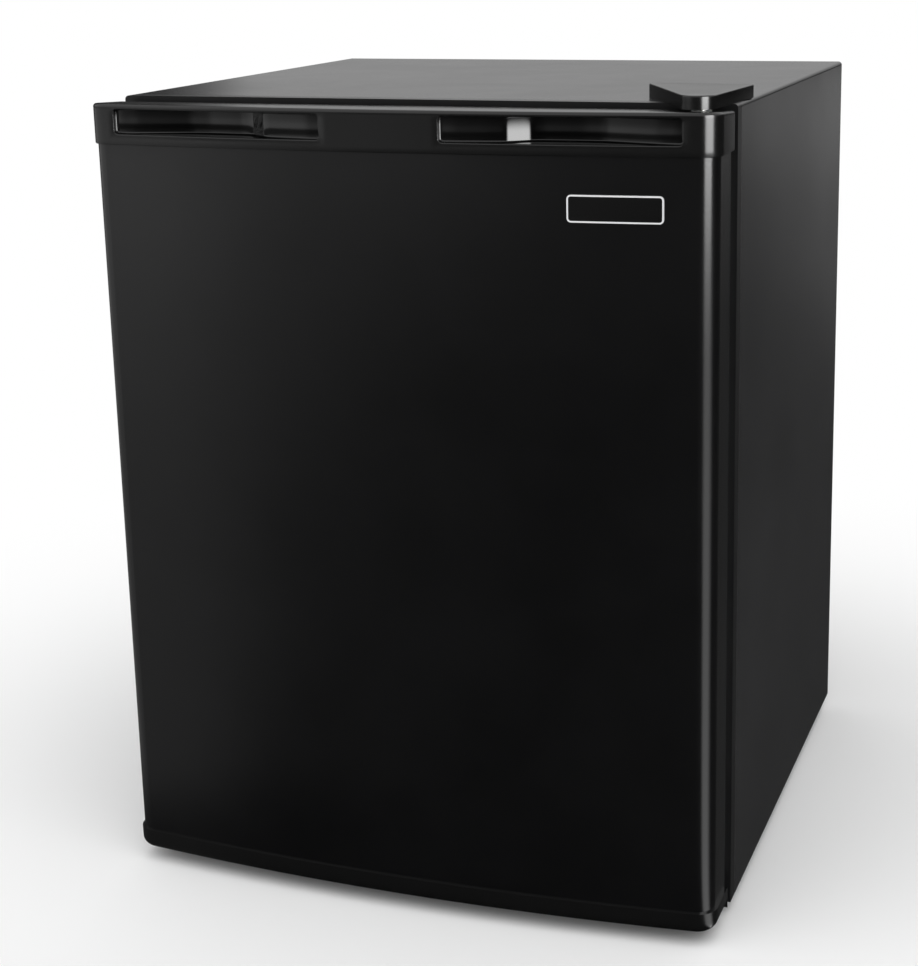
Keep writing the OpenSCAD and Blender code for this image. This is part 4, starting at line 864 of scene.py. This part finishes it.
def build_dial():
    """Fluted thermostat knob with a pointer, and a scale of ticks on its housing."""
    lo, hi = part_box("thermostat_dial")
    radius = (hi.x - lo.x) / 2
    grip = radius - GRIP_IN
    front = Vector(((lo.x + hi.x) / 2, lo.y, (lo.z + hi.z) / 2))
    towards_user = Vector((0, -1, 0))
    knob, pointer, ticks = Shape(), Shape(), Shape()
    draw_knob(knob, front, radius)
    add_piece("dial_knob", knob, "dial", "white_plastic", ("thermostat_dial",), 40.0)
    at = front + Vector((0, POINTER_SUNK, grip * POINTER_AT))
    draw_domed_bar(pointer, at, Vector((0, 0, 1)), towards_user, grip * POINTER_L, POINTER_W, POINTER_H)
    add_piece("dial_pointer", pointer, "dial", "black_plastic", (), 50.0)
    face = Vector((front.x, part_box("thermostat_housing")[0].y, front.z))
    for k in range(TICKS):
        a = math.radians(DIAL_FROM - DIAL_SWEEP * k / (TICKS - 1))
        out = Vector((math.cos(a), 0, math.sin(a)))
        if abs(out.z) * (radius + TICK_END) < TICK_ROOM:
            at = face + out * (radius + TICK_OUT)
            draw_domed_bar(ticks, at, out, towards_user, TICK_L + TICK_GROWS * k, TICK_W, TICK_H)
    add_piece("dial_scale", ticks, "cabinet", "black_plastic", (), 50.0)


# ---- screws ----
def loose_parts(mesh):
    """Lists of vertex positions, one for each separate shell of a mesh."""
    parent = list(range(len(mesh.vertices)))

    def root(i):
        while parent[i] != i:
            parent[i] = parent[parent[i]]
            i = parent[i]
        return i

    seen = {}
    for v in mesh.vertices:
        key = tuple(round(c * 1e6) for c in v.co)
        parent[root(v.index)] = root(seen.setdefault(key, v.index))
    for e in mesh.edges:
        a, b = e.vertices
        parent[root(a)] = root(b)
    groups = {}
    for v in mesh.vertices:
        groups.setdefault(root(v.index), []).append(v.co.copy())
    return list(groups.values())


# screw heads: rings as shares of the radius, dome and cross recess as shares of the radius or height
HEAD_RINGS = (1.0, 0.985, 0.93, 0.84, 0.72, 0.62, 0.54, 0.46, 0.38, 0.30, 0.22, 0.14, 0.06)
HEAD_PARTS = 40
SHANK_SHOWN = 0.004
HEAD_DOME, HEAD_FALL = 0.55, 0.12
RECESS_HALF_W, RECESS_REACH = 0.12, 0.60
RECESS_DEPTH, RECESS_EASE, RECESS_FLOOR = 0.55, 0.4, 0.42


def head_height(across, up, q):
    """Height of a pan head with a cross recess, q from its middle, as a share of the head's full height."""
    height = ((1 - q**6) ** 0.5 * HEAD_DOME + 1 - HEAD_DOME) * (1 - HEAD_FALL * q * q)
    if min(abs(across), abs(up)) < RECESS_HALF_W and q < RECESS_REACH:
        height -= RECESS_DEPTH * (1 - RECESS_EASE * q)
    return height


def draw_screw(s, points):
    """A pan-head screw with a cross recess, drawn over the CAD screw made of these points."""
    lo = Vector([min(p[k] for p in points) for k in range(3)])
    hi = Vector([max(p[k] for p in points) for k in range(3)])
    axis = max(range(3), key=lambda k: (hi - lo)[k])
    mid = (lo + hi) / 2

    def off_axis(p):
        d = p - mid
        d[axis] = 0
        return d.length

    head = max(off_axis(p) for p in points)
    shank = min(off_axis(p) for p in points if off_axis(p) > 1e-5)
    wide = [p[axis] for p in points if off_axis(p) > head * 0.98]
    sign = 1 if max(wide) > mid[axis] else -1
    tip, under = (hi[axis], min(wide)) if sign > 0 else (lo[axis], max(wide))
    up = Vector((0, 0, 0))
    up[axis] = sign
    a1 = up.orthogonal().normalized()
    a2 = up.cross(a1)
    seat = mid.copy()
    seat[axis] = under
    rise = up * abs(tip - under)
    turns = [2 * math.pi * k / HEAD_PARTS for k in range(HEAD_PARTS)]
    rays = [(math.cos(t), math.sin(t)) for t in turns]

    def ring(centre, radius):
        return [centre + (a1 * c + a2 * n) * radius for c, n in rays]

    rows = [ring(seat - up * SHANK_SHOWN, shank), ring(seat, shank), ring(seat, head)]
    for q in HEAD_RINGS:
        flat = ring(seat, q * head)
        rows.append([p + rise * head_height(q * c, q * n, q) for p, (c, n) in zip(flat, rays)])
    s.rows(rows, closed=True)
    s.fan(rows[-1], seat + rise * RECESS_FLOOR)


def build_screws():
    for node in ("rear_screws", "evaporator_screws", "hinge_screws"):
        s = Shape()
        for part in loose_parts(NODES[node].data):
            draw_screw(s, part)
        slot = NODES[node].material_slots[0].material.name.split(".")[0]
        add_piece(node.replace("_screws", "_screw_heads"), s, "cabinet", slot, (node,), 35.0)


# ---- studio ----
WALL_R = 14.0
WALL_H = 14.0
SKY_FROM, SKY_FULL = 2.4, 6.0
FLOOR_R = 60.0
FLOOR_NEAR, FLOOR_FADE = 0.32, 1.0
CARD_LIFT = 0.0004
PAPER = 0.95
WORLD_LIGHT, WORLD_SEEN = 0.55, 1.0
# colour sockets of a Mix node: its two inputs and its output
MIX_A, MIX_B, MIX_OUT = 6, 7, 2


def stage_mesh(name, verts, faces, material):
    o = new_object(name, verts, faces, material)
    return o


def only_in_gloss(o):
    """A studio card that shows in reflections alone."""
    o.visible_camera = False
    o.visible_diffuse = False
    o.visible_transmission = False
    o.visible_shadow = False
    o.visible_volume_scatter = False


def circle(radius, z, parts=64):
    turns = [2 * math.pi * i / parts for i in range(parts)]
    return [(radius * math.cos(a), radius * math.sin(a), z) for a in turns]


def disc(name, radius, z, material):
    verts = circle(radius, z)
    return stage_mesh(name, verts, [list(range(len(verts)))], material)


def drum(name, radius, height, material):
    low = circle(radius, 0.0)
    n = len(low)
    faces = [[i, (i + 1) % n, n + (i + 1) % n, n + i] for i in range(n)]
    return stage_mesh(name, low + circle(radius, height), faces, material)


class Glow:
    """An emission material built from small steps."""

    def __init__(self, name):
        self.material = bpy.data.materials.new(name)
        self.material.use_nodes = True
        nt = self.material.node_tree
        nt.nodes.clear()
        self.nodes, self.links = nt.nodes, nt.links
        self.glow = self.nodes.new("ShaderNodeEmission")
        self.out = self.nodes.new("ShaderNodeOutputMaterial")
        self.links.new(self.glow.outputs["Emission"], self.out.inputs["Surface"])
        self.place = self.nodes.new("ShaderNodeTexCoord").outputs["Object"]

    def axis(self, name):
        split = self.nodes.new("ShaderNodeSeparateXYZ")
        self.links.new(self.place, split.inputs["Vector"])
        return split.outputs[name]

    def turn(self, centre=(0, 0, 0)):
        """Direction round a centre: 0 is the left, 0.25 the front, 0.5 the right, 0.75 the back."""
        shift = self.nodes.new("ShaderNodeVectorMath")
        shift.operation = "SUBTRACT"
        shift.inputs[1].default_value = centre
        g = self.nodes.new("ShaderNodeTexGradient")
        g.gradient_type = "RADIAL"
        self.links.new(self.place, shift.inputs[0])
        self.links.new(shift.outputs["Vector"], g.inputs["Vector"])
        return g.outputs["Fac"]

    def radius(self):
        length = self.nodes.new("ShaderNodeVectorMath")
        length.operation = "LENGTH"
        self.links.new(self.place, length.inputs[0])
        return length.outputs["Value"]

    def curve(self, source, points, low=0.0, high=1.0, full=1.0):
        """Value that follows (position, level) points, with smooth joins, as a share of full."""
        m = self.nodes.new("ShaderNodeMapRange")
        m.inputs["From Min"].default_value, m.inputs["From Max"].default_value = low, high
        self.links.new(source, m.inputs["Value"])
        r = self.nodes.new("ShaderNodeValToRGB")
        r.color_ramp.interpolation = "EASE"
        ends = r.color_ramp.elements
        while len(ends) < len(points):
            ends.new(0.5)
        for e, (at, level) in zip(ends, points):
            e.position = (at - low) / (high - low)
            e.color = (level / full, level / full, level / full, 1)
        self.links.new(m.outputs["Result"], r.inputs["Fac"])
        return r.outputs["Color"]

    def two_colours(self, a, b):
        m = self.nodes.new("ShaderNodeMix")
        m.data_type = "RGBA"
        self.links.new(a, m.inputs[MIX_A])
        self.links.new(b, m.inputs[MIX_B])
        return m

    def mix(self, factor, a, b):
        """Colour a where the factor is 0 and colour b where it is 1."""
        m = self.two_colours(a, b)
        self.links.new(factor, m.inputs["Factor"])
        return m.outputs[MIX_OUT]

    def combine(self, a, b, kind):
        """Two colours multiplied or added."""
        m = self.two_colours(a, b)
        m.blend_type = kind
        m.inputs["Factor"].default_value = 1.0
        return m.outputs[MIX_OUT]

    def soft_ends(self, axis, size, edge):
        """1 along the middle of a card's axis, down to 0 at both ends; edge is the faded share."""
        half = size / 2
        points = ((-half, 0.0), (-half * (1 - edge), 1.0), (half * (1 - edge), 1.0), (half, 0.0))
        return self.curve(self.axis(axis), points, -half, half)

    def product(self, a, b):
        m = self.nodes.new("ShaderNodeMath")
        m.operation = "MULTIPLY"
        for socket, value in zip(m.inputs, (a, b)):
            self.links.new(value, socket)
        return m.outputs["Value"]

    def finish(self, source, strength=1.0):
        self.links.new(source, self.glow.inputs["Color"])
        self.glow.inputs["Strength"].default_value = strength
        return self.material


# brightness round the room for reflections, by direction (see Glow.turn)
FAR_ROUND = ((0, 0.75), (0.10, 0.95), (0.135, 0.85), (0.165, 0.40), (0.20, 0.12), (0.25, 0.03),
             (0.60, 0.03), (0.698, 0.04), (0.714, 0.30), (0.74, 0.43), (0.8295, 0.44), (0.8335, 0.05),
             (0.93, 0.05), (0.97, 0.75))
HIGH_ROUND = ((0, 1), (0.8295, 1), (0.8335, 0.06), (0.93, 0.06), (0.97, 1))
NEAR_LEFT = ((0, 0.20), (0.10, 0.30), (0.14, 0.22), (0.18, 0.05), (0.25, 0.02), (0.335, 0.03),
             (0.37, 0), (0.76, 0), (0.82, 0.20), (1, 0.20))
NEAR_RIGHT = ((0, 0), (0.28, 0), (0.325, 0.03), (0.375, 1.9), (0.43, 1.9), (0.52, 0.03),
              (0.69, 0.03), (0.715, 0.045), (0.7205, 0.07), (0.724, 0.06), (0.73, 0.045), (0.76, 0.045),
              (0.82, 0), (1, 0))
FRONT_ROUND = ((0, 0), (0.12, 0.05), (0.15, 0.20), (0.17, 0.13), (0.195, 0.32), (0.213, 0.20),
               (0.233, 0.13), (0.26, 0.08), (0.31, 0), (1, 0))
# by height on the wall, in metres
HIGH_SHARE = ((0, 0), (SKY_FROM, 0), (SKY_FULL, 1))
WALL_BASE = ((0, 0.12), (0.5, 0.12), (1.15, 1))
# by distance from the room's middle on the floor, in metres
FAR_SHARE = ((0.3, 0), (1.1, 0.12), (3.0, 0.48), (6.0, 0.95), (WALL_R, 1))
UNDER_DOOR = ((0, 0.2), (0.38, 0.2), (0.52, 1), (WALL_R, 1))
FRONT_SHARE = ((0, 0), (2.5, 0), (3.2, 0.22), (4.0, 0.5), (5.1, 1), (WALL_R, 1))
HORIZON = ((0, 1), (8.0, 1), (11.0, 0.12), (WALL_R, 0.12))
DOOR_CORNER = (HALF_W, SKIN[0].y + DOOR_BOW + DOOR_R, 0.0)
FLOOR_FULL = 2.0


def wall_glow():
    g = Glow("wall_glow")
    low = g.curve(g.turn(), FAR_ROUND)
    up = g.curve(g.axis("Z"), HIGH_SHARE, 0.0, WALL_H)
    base = g.curve(g.axis("Z"), WALL_BASE, 0.0, WALL_H)
    high = g.curve(g.turn(), HIGH_ROUND)
    return g.finish(g.combine(g.mix(up, low, high), base, "MULTIPLY"))


def floor_glow():
    """Left half seen from the room's middle, right half from the door's corner, where reflections start."""
    g = Glow("floor_glow")
    away = g.radius()
    far = g.curve(away, FAR_SHARE, 0.0, WALL_R)
    under = g.curve(away, UNDER_DOOR, 0.0, WALL_R)
    horizon = g.curve(away, HORIZON, 0.0, WALL_R)
    left = g.combine(g.curve(g.turn(), NEAR_LEFT, full=FLOOR_FULL), under, "MULTIPLY")
    near = g.combine(left, g.curve(g.turn(DOOR_CORNER), NEAR_RIGHT, full=FLOOR_FULL), "ADD")
    both = g.mix(far, near, g.curve(g.turn(), FAR_ROUND, full=FLOOR_FULL))
    ahead = g.curve(away, FRONT_SHARE, 0.0, WALL_R)
    front = g.combine(g.curve(g.turn(), FRONT_ROUND, full=FLOOR_FULL), ahead, "MULTIPLY")
    return g.finish(g.combine(g.combine(both, front, "ADD"), horizon, "MULTIPLY"), FLOOR_FULL)


def softbox(name, place, aim, width, height, strength, edge):
    """Card with soft edges that faces the aim and shows in reflections alone."""
    g = Glow(name)
    shape = g.product(g.soft_ends("X", width, edge), g.soft_ends("Y", height, edge))
    w, h = width / 2, height / 2
    corners = [(-w, -h, 0), (w, -h, 0), (w, h, 0), (-w, h, 0)]
    o = stage_mesh(name, corners, [[0, 1, 2, 3]], g.finish(shape, strength))
    o.location = place
    o.rotation_euler = (Vector(aim) - Vector(place)).to_track_quat("-Z", "Y").to_euler()
    only_in_gloss(o)


def lamp(name, direction, level, width):
    """Broad even lamp, width in degrees, shining along a direction; its reflection is left to the cards."""
    data = bpy.data.lights.new(name, "SUN")
    data.energy = level * math.pi
    data.angle = math.radians(width)
    o = bpy.data.objects.new(name, data)
    bpy.context.scene.collection.objects.link(o)
    o.rotation_euler = Vector(direction).to_track_quat("-Z", "Y").to_euler()
    o.visible_glossy = False


def seen_directly(nodes, links):
    """1 for camera, glossy and transmission rays, and 0 for the rays that light the object."""
    path = nodes.new("ShaderNodeLightPath")
    seen = path.outputs["Is Camera Ray"]
    for name in ("Is Glossy Ray", "Is Transmission Ray"):
        m = nodes.new("ShaderNodeMath")
        m.operation = "MAXIMUM"
        links.new(seen, m.inputs[0])
        links.new(path.outputs[name], m.inputs[1])
        seen = m.outputs["Value"]
    return seen


def floor_material():
    """White paper floor that is seen as plain white away from the object."""
    g = Glow("floor_paper")
    paper = g.nodes.new("ShaderNodeBsdfDiffuse")
    paper.inputs["Color"].default_value = (PAPER, PAPER, PAPER, 1)
    g.glow.inputs["Color"].default_value = (1, 1, 1, 1)
    away = g.curve(g.radius(), ((FLOOR_NEAR, 0.0), (FLOOR_FADE, 1.0)), 0.0, FLOOR_FADE)
    far = g.product(away, seen_directly(g.nodes, g.links))
    mix = g.nodes.new("ShaderNodeMixShader")
    g.links.new(far, mix.inputs["Fac"])
    g.links.new(paper.outputs["BSDF"], mix.inputs[1])
    g.links.new(g.glow.outputs["Emission"], mix.inputs[2])
    g.links.new(mix.outputs["Shader"], g.out.inputs["Surface"])
    return g.material


def studio_world():
    """Even light from all round; what camera, glossy and transmission rays see is white."""
    world = bpy.data.worlds.new("studio")
    bpy.context.scene.world = world
    world.use_nodes = True
    nt = world.node_tree
    back = nt.nodes["Background"]
    back.inputs["Color"].default_value = (1, 1, 1, 1)
    level = nt.nodes.new("ShaderNodeMapRange")
    level.inputs["To Min"].default_value = WORLD_LIGHT
    level.inputs["To Max"].default_value = WORLD_SEEN
    nt.links.new(seen_directly(nt.nodes, nt.links), level.inputs["Value"])
    nt.links.new(level.outputs["Result"], back.inputs["Strength"])


def build_studio():
    bpy.context.scene.view_settings.view_transform = "Standard"
    studio_world()
    floor = disc("floor", FLOOR_R, 0.0, floor_material())
    floor.visible_glossy = False
    only_in_gloss(disc("floor_card", WALL_R, CARD_LIFT, floor_glow()))
    only_in_gloss(drum("wall_card", WALL_R, WALL_H, wall_glow()))
    softbox("strip_card", place=(2.05, -1.45, 0.95), aim=(0.24, -0.25, 0.5), width=2.2, height=1.9,
            strength=13.0, edge=0.45)
    lamp("top_lamp", (-0.15, 0.35, -1.0), level=0.34, width=60)
    lamp("left_lamp", (1.0, 1.1, -0.75), level=0.22, width=70)
    lamp("right_lamp", (-1.0, 0.7, -0.6), level=0.14, width=70)


place_camera()
dress_frame()
build_top_cap()
build_scoops()
build_toe_cap()
build_hinge_cover()
build_pipes()
build_gasket()
build_channels()
build_dial()
build_screws()
build_studio()
